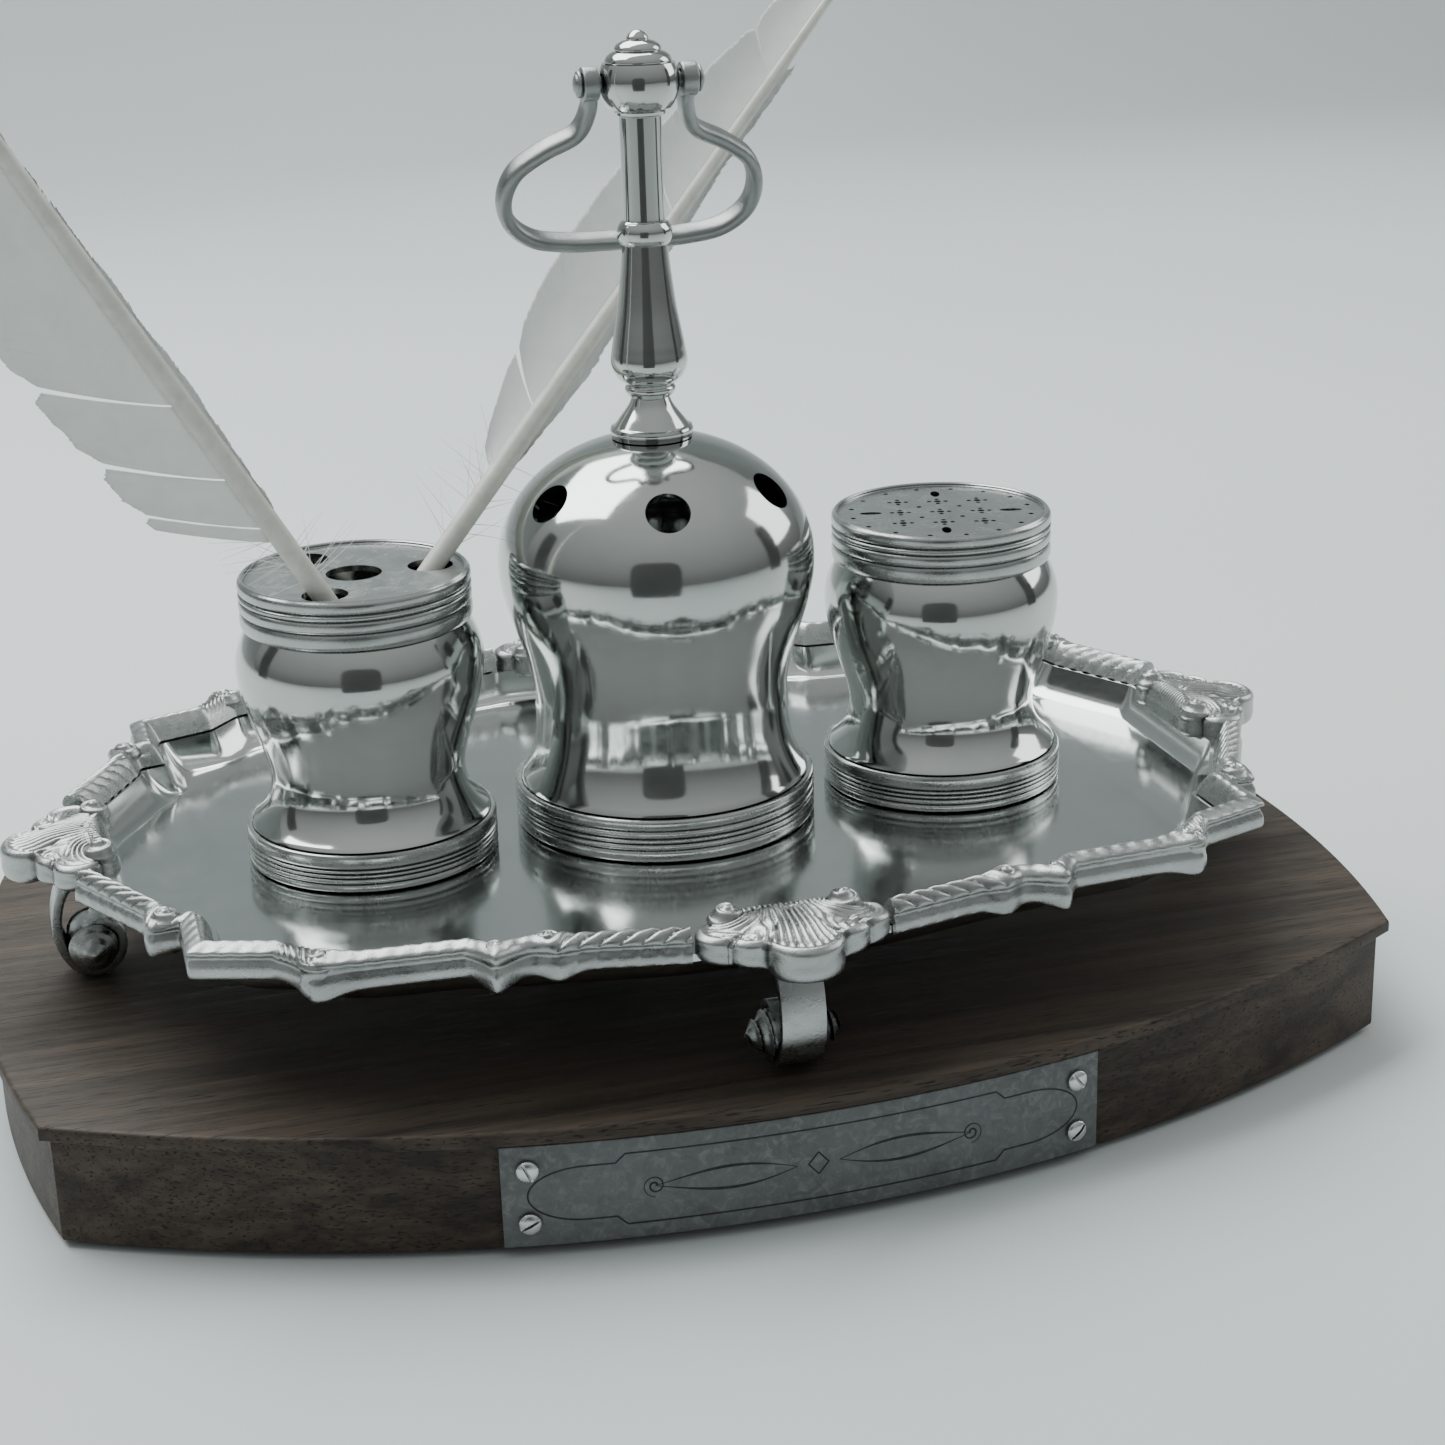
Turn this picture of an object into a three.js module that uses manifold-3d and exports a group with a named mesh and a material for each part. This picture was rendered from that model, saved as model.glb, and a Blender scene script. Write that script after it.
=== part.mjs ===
// Inkstand: a pewter tray on a walnut plinth. The tray carries an inkwell with two quills, a bell-shaped quill
// holder with a loop handle, and a sander. Millimetres, +Z up, origin at the centre of the underside, front at -Y.
import * as THREE from 'three';
import { mergeVertices } from 'three/addons/utils/BufferGeometryUtils.js';
import Module from 'manifold-3d';

const wasm = await Module();
wasm.setup();

// ---------------------------------------------------------------------------------------------------------------
// Sizes
// ---------------------------------------------------------------------------------------------------------------

const GAP = 0.3;                 // between seated faces
const RUNNING = 0.4;             // radial room of a pin, screw or rod in its hole

const pad = { thickness: 1.0, inset: 6.0 };

// The tray's half sizes, at the outer edge of its border beside the shells.
const halfLength = 122.0;
const halfWidth = 89.0;

const plinth = {
  thickness: 24.1,
  cornerX: halfLength + 11.5,
  cornerY: halfWidth - 23.5,
  frontReach: halfWidth + 12.0,  // the bowed front and back at their middles
  sideReach: halfLength + 20.0,  // the bowed sides at their middles
  lipThickness: 2.8,
  lipOverhang: 2.2,
  edgeRound: 1.1,
  footRound: 0.8,
};

const nameplate = {
  length: 114.3, height: 20.0, thickness: 1.2, screwInset: 4.8, underLip: 0.4,
};

const screw = { headRadius: 2.1, headHeight: 1.1, shankRadius: 1.0, shankLength: 8.0, slot: 0.6, slotDepth: 0.6 };

const tray = {
  floorHeight: 18.3,             // floor top over the plinth
  sheet: 1.4,
  flangeBottom: 5.3,             // over the floor top
  flangeInset: 1.5,
  caveInset: 6.6,                // where the sloping side meets the flange
  rimTop: 11.7,
  rimBottom: 5.1,
  rimWidth: 5.8,
};

// Where the border's runs start beside a front shell and beside a side shell.
const besideShell = { x: 19.0, y: 21.5 };

// One quarter of the border's outer edge, from the side shell round the ear to the front or back shell, drawn for
// a tray of drawnLength by drawnWidth and stretched between its shells.
const drawnLength = 122.0;
const drawnWidth = 89.0;
const borderQuarter = [
  [122.0, 21.5], [110.5, 43.0], [109.0, 49.6], [104.7, 50.6], [104.9, 64.8], [90.5, 69.8],
  [84.0, 77.3], [76.0, 79.4], [58.0, 80.6], [53.5, 85.2], [46.0, 83.0], [19.0, 89.0],
].map(stretched);

// The same stations where the tray's side runs out into its flat floor.
const floorQuarter = [
  [111.5, 18.5], [99.0, 39.5], [97.0, 43.5], [94.5, 46.5], [92.5, 56.5], [84.5, 60.5],
  [78.0, 65.8], [72.5, 68.6], [57.5, 70.0], [52.0, 71.2], [45.5, 72.8], [18.0, 78.0],
].map(stretched);

// Leaves a point beside a shell where it is along that shell and moves the others outwards with the border.
function stretched([x, y]) {
  const shareX = Math.max(0, x - besideShell.x) / (drawnLength - besideShell.x);
  const shareY = Math.max(0, y - besideShell.y) / (drawnWidth - besideShell.y);
  return [x + (halfLength - drawnLength) * shareX, y + (halfWidth - drawnWidth) * shareY];
}

const shell = {
  sideShift: halfLength - halfWidth,  // the side shells stand this much further out than the front and back ones
  bottom: 3.8,                   // centre lobe, over the floor top
  sideBottom: 5.4,
  top: 12.2,
  root: halfWidth - 8.5,         // inner edge, from the centre line
  rootHalfWidth: 13.5,
  volute: { across: 11.0, out: halfWidth - 6.0, radius: 3.6, top: 13.4 },
  lobes: [
    { across: 0.0, out: halfWidth + 5.5, radius: 7.2 },
    { across: 8.4, out: halfWidth + 1.4, radius: 5.0 },
    { across: 13.4, out: halfWidth - 1.4, radius: 4.7 },
  ],
};

const foot = {
  out: halfWidth - 3.0,          // scroll centre from the tray's centre line, at the front and back
  strapWidth: 8.4,
  strapThickness: 2.0,
  bossReach: 5.0,                // how far a boss stands out of the strap's side
  scrollHeight: 6.6,
  padLength: 9.0,
  padThickness: 1.5,
};

// The inkwell and the sander are spun on the same form. Heights are over the tray's floor.
const vesselFoot = 25.2;
const vesselNeck = 21.9;
const vessel = {
  footRadius: vesselFoot, footHeight: 8.0, footWall: 3.4,
  ankleRadius: vesselFoot - 0.9, skirtRadius: vesselFoot - 4.0,
  waistRadius: 19.45, waistHeight: 17.8,
  bellyRadius: 24.5, bellyHeight: 40.5,
  neckRadius: vesselNeck, neckHeight: 48.5,
  collarRadius: vesselNeck - 1.3, collarHeight: 6.6,
  ankleFlow: 2.5, waistFlow: 1.5, wall: 1.4,
};

const quill = { barrel: 2.1, tip: 0.6, nib: 0.5, nibLength: 8.0, vaneThickness: 0.8, vaneTipMargin: 6.0 };

const lidWall = 1.9;             // the skirt at its rings
const lidRadius = vessel.collarRadius + RUNNING + lidWall;
const lid = {
  radius: lidRadius, height: 9.9, plateDrop: 1.7, plate: 1.2, rimWall: 1.3,
  inkHole: 5.5, quillHole: quill.barrel + 2.4, quillHoleOut: lidRadius - 7.7,
};

const piercing = { turn: -16, pitch: 8.4, hole: 0.9, slot: 0.6, leafOut: 14.0, leaf: 2.3, rimOut: 18.6, rimCount: 16 };

const linerRoom = 0.85;          // round the liner at the waist
const liner = { outerRadius: vessel.waistRadius - vessel.wall - linerRoom, wall: 2.2, height: 30.0 };

const bellFoot = 31.1;
const bellShoulder = 32.1;
const bell = {
  footRadius: bellFoot, footHeight: 9.2, footWall: 3.6,
  ankleRadius: bellFoot - 1.1, skirtRadius: bellFoot - 4.1,
  waistRadius: 26.0, waistHeight: 27.0,
  shoulderRadius: bellShoulder, shoulderHeight: 55.0,
  domeHeight: 25.5,
  ankleFlow: 3.3, waistFlow: 1.85, wall: 1.4,
  holes: 6, holeRadius: 4.4, holeOut: bellShoulder - 6.7, holeTurn: -98.7,
};

const vesselGap = 5.2;           // between the feet of the bell and of its neighbours
const vesselPitch = bell.footRadius + vessel.footRadius + vesselGap;

const baseDisc = 1.2;

// Turned profiles as [radius, height], the stem over the dome's top and the finial over the stem's.
const stemTurning = [
  [8.3, 0.3], [8.3, 1.5], [6.4, 3.6], [4.2, 6.5], [3.75, 7.7], [4.9, 9.8], [6.7, 11.8], [7.6, 14.3], [6.8, 20.0],
  [5.9, 23.0], [5.1, 29.3], [4.4, 37.5], [5.4, 40.4], [4.1, 43.0], [4.1, 61.9],
];
const finialTurning = {
  neck: [[4.2, 0.3], [5.4, 1.6]],
  rings: [[6.3, 10.2], [6.0, 11.6], [4.7, 12.2], [4.4, 13.8], [2.2, 14.4], [1.4, 15.6]],
  tip: 16.2,
};
const pin = { radius: 1.5, inner: 3.5, headRadius: 3.1, headThickness: 1.3 };
const ball = { radius: 7.7, height: 6.6, pivotHole: pin.radius + GAP };
const rod = { radius: 2.0, below: 9.0, above: 12.0 };
const nut = { radius: 4.6, thickness: 3.0 };

const bail = { thick: 3.0, wide: 5.0, eyeRadius: 3.3, eyeThickness: 3.2, eyeGap: 0.45, restAngle: 24.0 };

// Half of the loop handle's centre line, as [out from the eye's middle, drop from the pivot].
const eyeAt = ball.radius + bail.eyeGap + bail.eyeThickness / 2;
const bailLine = [
  [0.0, 0.0], [0.0, 5.4], [2.05, 10.5], [7.95, 14.1], [12.95, 18.3], [14.95, 23.8], [13.75, 29.2], [9.15, 33.4],
  [2.05, 34.8], [-4.55, 35.0],
].map(([out, drop]) => [eyeAt + out, drop]);

// Each quill leans in its own hole of the lid: `at` is where its axis meets the lid's plate.
const leftHole = THREE.MathUtils.degToRad(240);
const leftLean = 0.16;
const rightLean = 0.2;
const quills = {
  left: {
    at: [lid.quillHoleOut * Math.cos(leftHole), lid.quillHoleOut * Math.sin(leftHole) + leftLean],
    up: [-0.573, 0.0, 1.0], vane: [-1, 0, 0], inside: 20.0, outside: 210.0,
    vaneStart: 17.0, vaneWidths: [4, 15, 19, 20, 18, 14, 11, 9, 7, 4],
  },
  right: {
    at: [lid.quillHoleOut, rightLean],
    up: [0.998, 0.49, 1.0], vane: [-1, 0.55, 0.73], inside: 26.0, outside: 190.0,
    vaneStart: 24.0, vaneWidths: [3, 9, 13, 14, 14, 12, 10, 8, 6, 3],
  },
};

const FACETS = { vessel: 20, turned: 16, small: 8 };

// ---------------------------------------------------------------------------------------------------------------
// Levels that follow from the sizes
// ---------------------------------------------------------------------------------------------------------------

const plinthBottom = pad.thickness + GAP;
const plinthTop = plinthBottom + plinth.thickness;
const floorTop = plinthTop + tray.floorHeight;
const flangeTop = tray.flangeBottom + tray.sheet;
const domeTop = bell.shoulderHeight + bell.domeHeight;
const stemTop = domeTop + stemTurning.at(-1)[1];
const pivotHeight = stemTop + ball.height;
const lidBottom = vessel.neckHeight + GAP;
const lidTop = lidBottom + lid.height;
const lidPlateTop = lidTop - lid.plateDrop;

const radians = THREE.MathUtils.degToRad;

// ---------------------------------------------------------------------------------------------------------------
// Finishes
// ---------------------------------------------------------------------------------------------------------------

const finish = (color, metalness, roughness) => new THREE.MeshStandardMaterial({ color, metalness, roughness });
const finishes = {
  polished: finish(0xc9cccb, 1, 0.12),
  satin: finish(0xb4b7b6, 1, 0.35),
  cast: finish(0x9fa2a1, 1, 0.45),
  plate: finish(0x7d8283, 0.8, 0.5),
  walnut: finish(0x45362d, 0, 0.6),
  baize: finish(0x2f4a3a, 0, 0.95),
  glass: new THREE.MeshStandardMaterial({ color: 0xcfdcda, roughness: 0.05, transparent: true, opacity: 0.35 }),
  shaft: finish(0xd8d6cc, 0, 0.5),
  vane: finish(0xe9ecea, 0, 0.8),
};

// ---------------------------------------------------------------------------------------------------------------
// Shape helpers
// ---------------------------------------------------------------------------------------------------------------

// Merges shared vertices, drops empty faces and turns the faces outwards.
function closed(geometry) {
  const bare = new THREE.BufferGeometry();
  bare.setAttribute('position', geometry.getAttribute('position'));
  if (geometry.index) bare.setIndex(geometry.index);
  const merged = mergeVertices(bare, 1e-4);
  const position = merged.getAttribute('position');
  const corners = merged.index.array;
  const [a, b, c] = [new THREE.Vector3(), new THREE.Vector3(), new THREE.Vector3()];
  const faces = [];
  let volume = 0;
  for (let i = 0; i < corners.length; i += 3) {
    const [p, q, r] = [corners[i], corners[i + 1], corners[i + 2]];
    if (p === q || q === r || r === p) continue;
    volume += a.fromBufferAttribute(position, p)
      .dot(b.fromBufferAttribute(position, q).cross(c.fromBufferAttribute(position, r)));
    faces.push(p, q, r);
  }
  if (volume < 0) faces.reverse();
  merged.setIndex(faces);
  return merged;
}

function toSolid(geometry) {
  const mesh = closed(geometry);
  return new wasm.Manifold(new wasm.Mesh({
    numProp: 3,
    vertProperties: new Float32Array(mesh.getAttribute('position').array),
    triVerts: new Uint32Array(mesh.index.array),
  }));
}

function fromSolid(solid) {
  const { vertProperties, triVerts } = solid.getMesh();
  const geometry = new THREE.BufferGeometry();
  geometry.setAttribute('position', new THREE.BufferAttribute(vertProperties, 3));
  geometry.setIndex(new THREE.BufferAttribute(triVerts, 1));
  return geometry;
}

const join = (first, ...others) => fromSolid(others.reduce((sum, g) => sum.add(toSolid(g)), toSolid(first)));
const cut = (first, ...tools) => fromSolid(tools.reduce((rest, g) => rest.subtract(toSolid(g)), toSolid(first)));

// A turned piece about +Z from [radius, height] points.
function turned(profile, facets = FACETS.turned) {
  const points = profile.map(([r, z]) => new THREE.Vector2(r, z));
  return closed(new THREE.LatheGeometry(points, facets).rotateX(Math.PI / 2));
}

// A plain cylinder along +Z between two heights.
function rodAlongZ(radius, low, high, facets = FACETS.small) {
  return new THREE.CylinderGeometry(radius, radius, high - low, facets)
    .rotateX(Math.PI / 2).translate(0, 0, (low + high) / 2);
}

function block(width, depth, low, high) {
  return new THREE.BoxGeometry(width, depth, high - low).translate(0, 0, (low + high) / 2);
}

// A skin through rings of equal length, capped at both ends. flat gives the outline used to cap a ring.
function loft(rings, flat = (ring) => ring.map(([x, y]) => new THREE.Vector2(x, y))) {
  const count = rings[0].length;
  const index = [];
  for (let k = 0; k < rings.length - 1; k++) {
    for (let i = 0; i < count; i++) {
      const a = k * count + i;
      const b = k * count + (i + 1) % count;
      index.push(a, b, b + count, a, b + count, a + count);
    }
  }
  for (const level of [0, rings.length - 1]) {
    const outline = flat(rings[level]);
    const follows = THREE.ShapeUtils.isClockWise(outline) === (level === 0);
    for (const [p, q, r] of THREE.ShapeUtils.triangulateShape(outline, [])) {
      const face = [p, q, r].map((i) => i + level * count);
      index.push(...(follows ? face : face.reverse()));
    }
  }
  const geometry = new THREE.BufferGeometry();
  geometry.setAttribute('position', new THREE.Float32BufferAttribute(rings.flat(2), 3));
  geometry.setIndex(index);
  return closed(geometry);
}

const atHeight = (outline, z) => outline.map(([x, y]) => [x, y, z]);

// A flat outline raised from one height to another.
function raised(outline, low, high) {
  const shape = new THREE.Shape(outline.map(([x, y]) => new THREE.Vector2(x, y)));
  return new THREE.ExtrudeGeometry(shape, { depth: high - low, bevelEnabled: false }).translate(0, 0, low);
}

// Four copies of a quarter outline make the whole loop, anticlockwise.
function fourfold(quarter) {
  const mirrored = [...quarter].reverse();
  return [
    ...quarter,
    ...mirrored.map(([x, y]) => [-x, y]),
    ...quarter.map(([x, y]) => [-x, -y]),
    ...mirrored.map(([x, y]) => [x, -y]),
  ];
}

// Moves each side of an anticlockwise outline inwards by the same distance.
function inset(outline, distance) {
  const count = outline.length;
  return outline.map(([x, y], i) => {
    const before = outline[(i + count - 1) % count];
    const after = outline[(i + 1) % count];
    const u = new THREE.Vector2(x - before[0], y - before[1]).normalize();
    const v = new THREE.Vector2(after[0] - x, after[1] - y).normalize();
    const reach = distance / (1 + u.dot(v));
    return [x - reach * (u.y + v.y), y + reach * (u.x + v.x)];
  });
}

const between = (first, second, share) => first.map(([x, y], i) => [
  x + share * (second[i][0] - x), y + share * (second[i][1] - y),
]);

// Points of a flowing side between two [radius, height] points, by an ease from 0 to 1.
function flow([r0, z0], [r1, z1], steps, ease) {
  return Array.from({ length: steps }, (_, i) => {
    const t = (i + 1) / steps;
    return [r0 + (r1 - r0) * ease(t), z0 + (z1 - z0) * t];
  });
}

// A reeded band: rounded rings with narrow grooves between them.
function reeds(radius, low, high, count, depth = 0.5) {
  const pitch = (high - low) / count;
  return Array.from({ length: count }, (_, i) => {
    const z = low + i * pitch;
    return [[radius - depth, z], [radius, z + 0.25 * pitch], [radius, z + 0.75 * pitch]];
  }).flat().concat([[radius - depth, high]]);
}

const scene = new THREE.Group();

function piece(name, geometry, material, parent = scene) {
  const mesh = new THREE.Mesh(closed(geometry), material);
  mesh.name = name;
  parent.add(mesh);
  return mesh;
}

function groupAt(x, y, z, parent = scene) {
  const group = new THREE.Group();
  group.position.set(x, y, z);
  parent.add(group);
  return group;
}

// ---------------------------------------------------------------------------------------------------------------
// Plinth, baize and nameplate
// ---------------------------------------------------------------------------------------------------------------

const bowRadius = (half, rise) => (half * half + rise * rise) / (2 * rise);
const frontRadius = bowRadius(plinth.cornerX, plinth.frontReach - plinth.cornerY);
const frontCentre = plinth.frontReach - frontRadius;
const sideRadius = bowRadius(plinth.cornerY, plinth.sideReach - plinth.cornerX);
const sideCentre = plinth.sideReach - sideRadius;

// The plinth's four-bowed outline, moved inwards by a distance.
function bowedOutline(distance) {
  const long = frontRadius - distance;
  const short = sideRadius - distance;
  const apart = Math.hypot(sideCentre, frontCentre);
  const along = (long * long - short * short + apart * apart) / (2 * apart);
  const off = Math.sqrt(long * long - along * along);
  const unit = [sideCentre / apart, -frontCentre / apart];
  const corner = [unit[0] * along + unit[1] * off, frontCentre + unit[1] * along - unit[0] * off];
  const longHalf = Math.atan2(corner[0], corner[1] - frontCentre);
  const shortHalf = Math.atan2(corner[1], corner[0] - sideCentre);
  const arc = (cx, cy, radius, middle, half, steps) => Array.from({ length: steps }, (_, i) => {
    const angle = middle - half + (2 * half * i) / steps;
    return [cx + radius * Math.cos(angle), cy + radius * Math.sin(angle)];
  });
  return [
    ...arc(sideCentre, 0, short, 0, shortHalf, 6),
    ...arc(0, frontCentre, long, Math.PI / 2, longHalf, 14),
    ...arc(-sideCentre, 0, short, Math.PI, shortHalf, 6),
    ...arc(0, -frontCentre, long, -Math.PI / 2, longHalf, 14),
  ];
}

function buildPlinth() {
  const { lipThickness, lipOverhang, edgeRound, footRound } = plinth;
  const lipUnder = plinthTop - lipThickness;
  const sections = [
    [lipOverhang + footRound, plinthBottom],
    [lipOverhang, plinthBottom + footRound],
    [lipOverhang, lipUnder],
    [0.3 * edgeRound, lipUnder],
    [0, lipUnder + 0.3 * edgeRound],
    [0, plinthTop - edgeRound],
    [0.3 * edgeRound, plinthTop - 0.3 * edgeRound],
    [edgeRound, plinthTop],
  ];
  const board = loft(sections.map(([distance, z]) => atHeight(bowedOutline(distance), z)));
  piece('plinth', cut(board, ...screwPlaces.map((place) => screwHole(place))), finishes.walnut);
  piece('baize_pad', loft([0, pad.thickness].map((z) => atHeight(bowedOutline(pad.inset), z))), finishes.baize);
}

const faceRadius = frontRadius - plinth.lipOverhang;
const plateInner = faceRadius + GAP;
const plateOuter = plateInner + nameplate.thickness;
const plateTop = plinthTop - plinth.lipThickness - nameplate.underLip;
const plateHalf = nameplate.length / 2 / plateOuter;
const screwHalf = (nameplate.length / 2 - nameplate.screwInset) / plateOuter;

const screwPlaces = [
  ['lower_left', -1, plateTop - nameplate.height + nameplate.screwInset],
  ['upper_left', -1, plateTop - nameplate.screwInset],
  ['lower_right', 1, plateTop - nameplate.height + nameplate.screwInset],
  ['upper_right', 1, plateTop - nameplate.screwInset],
].map(([name, side, z]) => ({ name, angle: side * screwHalf, z }));

// Carries a shape drawn along +Z, from the plate's face outwards, to a screw's place on the bowed front.
function ontoFront(geometry, { angle, z }) {
  return geometry.rotateX(Math.PI / 2).translate(0, -plateOuter, 0).rotateZ(angle).translate(0, -frontCentre, z);
}

const screwHole = (place) => ontoFront(
  rodAlongZ(screw.shankRadius + RUNNING, -screw.shankLength - 1, 3), place,
);

function buildNameplate() {
  const steps = 16;
  const edge = (radius) => Array.from({ length: steps + 1 }, (_, i) => {
    const angle = plateHalf * (2 * i / steps - 1);
    return [radius * Math.sin(angle), -frontCentre - radius * Math.cos(angle)];
  });
  const band = raised([...edge(plateOuter), ...edge(plateInner).reverse()], plateTop - nameplate.height, plateTop);
  piece('nameplate', cut(band, ...screwPlaces.map((place) => screwHole(place))), finishes.plate);
  for (const place of screwPlaces) {
    const body = turned([
      [0, -screw.shankLength], [0.3, -screw.shankLength], [screw.shankRadius, 1.5 - screw.shankLength],
      [screw.shankRadius, GAP], [screw.headRadius, GAP], [0.85 * screw.headRadius, GAP + 0.6 * screw.headHeight],
      [0.4 * screw.headRadius, GAP + screw.headHeight], [0, GAP + screw.headHeight],
    ], FACETS.small);
    const high = GAP + screw.headHeight;
    const slot = block(3 * screw.headRadius, screw.slot, high - screw.slotDepth, high + 1);
    piece(`nameplate_screw_${place.name}`, ontoFront(cut(body, slot), place), finishes.satin);
  }
}

// ---------------------------------------------------------------------------------------------------------------
// Tray
// ---------------------------------------------------------------------------------------------------------------

const borderOutline = fourfold(borderQuarter);
const floorOutline = fourfold(floorQuarter);
const stand = groupAt(0, 0, floorTop);

function buildTrayPlate() {
  const lower = inset(borderOutline, tray.caveInset - 1);
  const upper = inset(borderOutline, tray.caveInset);
  const edge = inset(borderOutline, tray.flangeInset);
  const slope = flangeTop;
  piece('tray_plate', loft([
    atHeight(between(floorOutline, lower, 0.1), -tray.sheet),
    atHeight(between(floorOutline, lower, 0.65), 0.35 * slope - tray.sheet),
    atHeight(lower, tray.flangeBottom),
    atHeight(edge, tray.flangeBottom),
    atHeight(edge, flangeTop),
    atHeight(upper, flangeTop),
    atHeight(between(floorOutline, upper, 0.6), 0.35 * slope),
    atHeight(floorOutline, 0),
  ]), finishes.satin, stand);
}

// The moulding's section as [distance in from the outer edge, height], clear of the flange under it.
const rimSection = [
  [0, tray.rimBottom], [0, tray.rimTop - 1], [0.9, tray.rimTop], [0.6 * tray.rimWidth, tray.rimTop],
  [0.9 * tray.rimWidth, tray.rimTop - 1.4], [tray.rimWidth, flangeTop + GAP],
  [tray.flangeInset - GAP, flangeTop + GAP], [tray.flangeInset - GAP, tray.rimBottom],
];

function buildBorders() {
  const count = borderQuarter.length;
  const loops = rimSection.map(([distance]) => inset(borderOutline, distance));
  const flat = () => rimSection.map(([distance, z]) => new THREE.Vector2(distance, z));
  ['back_right', 'back_left', 'front_left', 'front_right'].forEach((place, quarter) => {
    const stations = Array.from({ length: count }, (_, i) => quarter * count + i);
    const sections = stations.map((i) => rimSection.map(([, z], k) => [...loops[k][i], z]));
    piece(`tray_border_${place}`, loft(sections, flat), finishes.cast, stand);
  });
}

// The four sides, each as a turn of a piece drawn at the back and its shift outwards.
const sides = [
  ['back', 0, 0],
  ['left', 90, shell.sideShift],
  ['front', 180, 0],
  ['right', 270, shell.sideShift],
];

const toSide = (geometry, turn, shift) => geometry.translate(0, shift, 0).rotateZ(radians(turn));

function shellGeometry() {
  const lobes = shell.lobes.flatMap(({ across, out, radius }, i) => {
    const low = i === 0 ? shell.bottom : shell.sideBottom;
    const sidesOf = across === 0 ? [0] : [-across, across];
    return sidesOf.map((x) => rodAlongZ(radius, low, shell.top, FACETS.turned).translate(x, out, 0));
  });
  const volutes = [-1, 1].map((side) => rodAlongZ(shell.volute.radius, shell.sideBottom, shell.volute.top)
    .translate(side * shell.volute.across, shell.volute.out, 0));
  const middle = shell.lobes[0].out;
  const root = block(2 * shell.rootHalfWidth, middle - shell.root, shell.sideBottom, shell.top)
    .translate(0, (middle + shell.root) / 2 - 2, 0);
  return join(root, ...lobes, ...volutes);
}

function buildShells() {
  const room = inset(borderOutline, tray.flangeInset - GAP);
  const underside = raised(room, -tray.sheet - 1, flangeTop + GAP);
  for (const [place, turn, shift] of sides) {
    piece(`shell_${place}`, cut(toSide(shellGeometry(), turn, shift), underside), finishes.cast, stand);
  }
}

// A scroll foot at the back: a strap that bows out, curls in under itself and ends on a pair of bosses.
function footGeometry() {
  const top = tray.floorHeight + shell.bottom - GAP;
  const centre = foot.scrollHeight;
  const low = GAP + foot.strapThickness / 2;
  const line = new THREE.SplineCurve([
    [2.5, top - foot.padThickness / 2], [5.2, top - 4.0], [6.6, centre + 6.0], [6.2, centre + 0.8],
    [3.4, low + 1.2], [-0.8, low], [-4.6, low + 2.4], [-5.4, centre + 1.8], [-2.4, centre + 4.6],
    [0.6, centre + 3.2],
  ].map(([x, y]) => new THREE.Vector2(x, y)));
  const steps = 18;
  const side = (sign) => Array.from({ length: steps + 1 }, (_, i) => {
    const point = line.getPoint(i / steps);
    const along = line.getTangent(i / steps);
    return [point.x - sign * along.y * foot.strapThickness / 2, point.y + sign * along.x * foot.strapThickness / 2];
  });
  const half = foot.strapWidth / 2;
  const strap = raised([...side(1), ...side(-1).reverse()], -half, half);
  const reach = half + foot.bossReach;
  const cone = [[4.4, half], [4.2, half + 0.9], [3.2, half + 1.0], [2.8, half + 2.6], [1.9, half + 2.8], [0.9, reach]];
  const boss = turned([
    [0, -reach], ...[...cone].reverse().map(([r, z]) => [r, -z]), ...cone, [0, reach],
  ], FACETS.small).translate(0, centre, 0);
  const seat = new THREE.BoxGeometry(foot.padLength, foot.padThickness, foot.strapWidth)
    .translate(foot.padLength / 2 - 2, top - foot.padThickness / 2, 0);
  return join(strap, boss, seat).rotateX(Math.PI / 2).rotateZ(Math.PI / 2).translate(0, foot.out, 0);
}

function buildFeet() {
  const level = groupAt(0, 0, plinthTop);
  for (const [place, turn, shift] of sides) {
    piece(`foot_${place}`, toSide(footGeometry(), turn, shift), finishes.cast, level);
  }
}

// ---------------------------------------------------------------------------------------------------------------
// Inkwell and sander
// ---------------------------------------------------------------------------------------------------------------

function footRing({ footRadius, footHeight, skirtRadius, footWall }) {
  const inner = Math.max(skirtRadius + GAP, footRadius - footWall);
  return turned([
    [inner, GAP], ...reeds(footRadius, GAP, footHeight, 3), [inner, footHeight], [inner, GAP],
  ], FACETS.vessel);
}

const floorDisc = ({ skirtRadius, wall }) => turned([
  [0, GAP], [skirtRadius - wall - GAP, GAP], [skirtRadius - wall - GAP, GAP + baseDisc], [0, GAP + baseDisc],
], FACETS.vessel);

// The outer side from the ankle up to the neck.
function vesselSide({ ankleRadius, footHeight, waistRadius, waistHeight, bellyRadius, bellyHeight, neckRadius,
  neckHeight, ankleFlow, waistFlow }) {
  const ankle = [ankleRadius, footHeight + GAP];
  const waist = [waistRadius, waistHeight];
  const belly = [bellyRadius, bellyHeight];
  return [
    ankle,
    ...flow(ankle, waist, 3, (t) => 1 - (1 - t) ** ankleFlow),
    ...flow(waist, belly, 4, (t) => Math.sin(t * Math.PI / 2) ** waistFlow),
    ...flow(belly, [neckRadius, neckHeight], 2, (t) => t * t),
  ];
}

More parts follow.
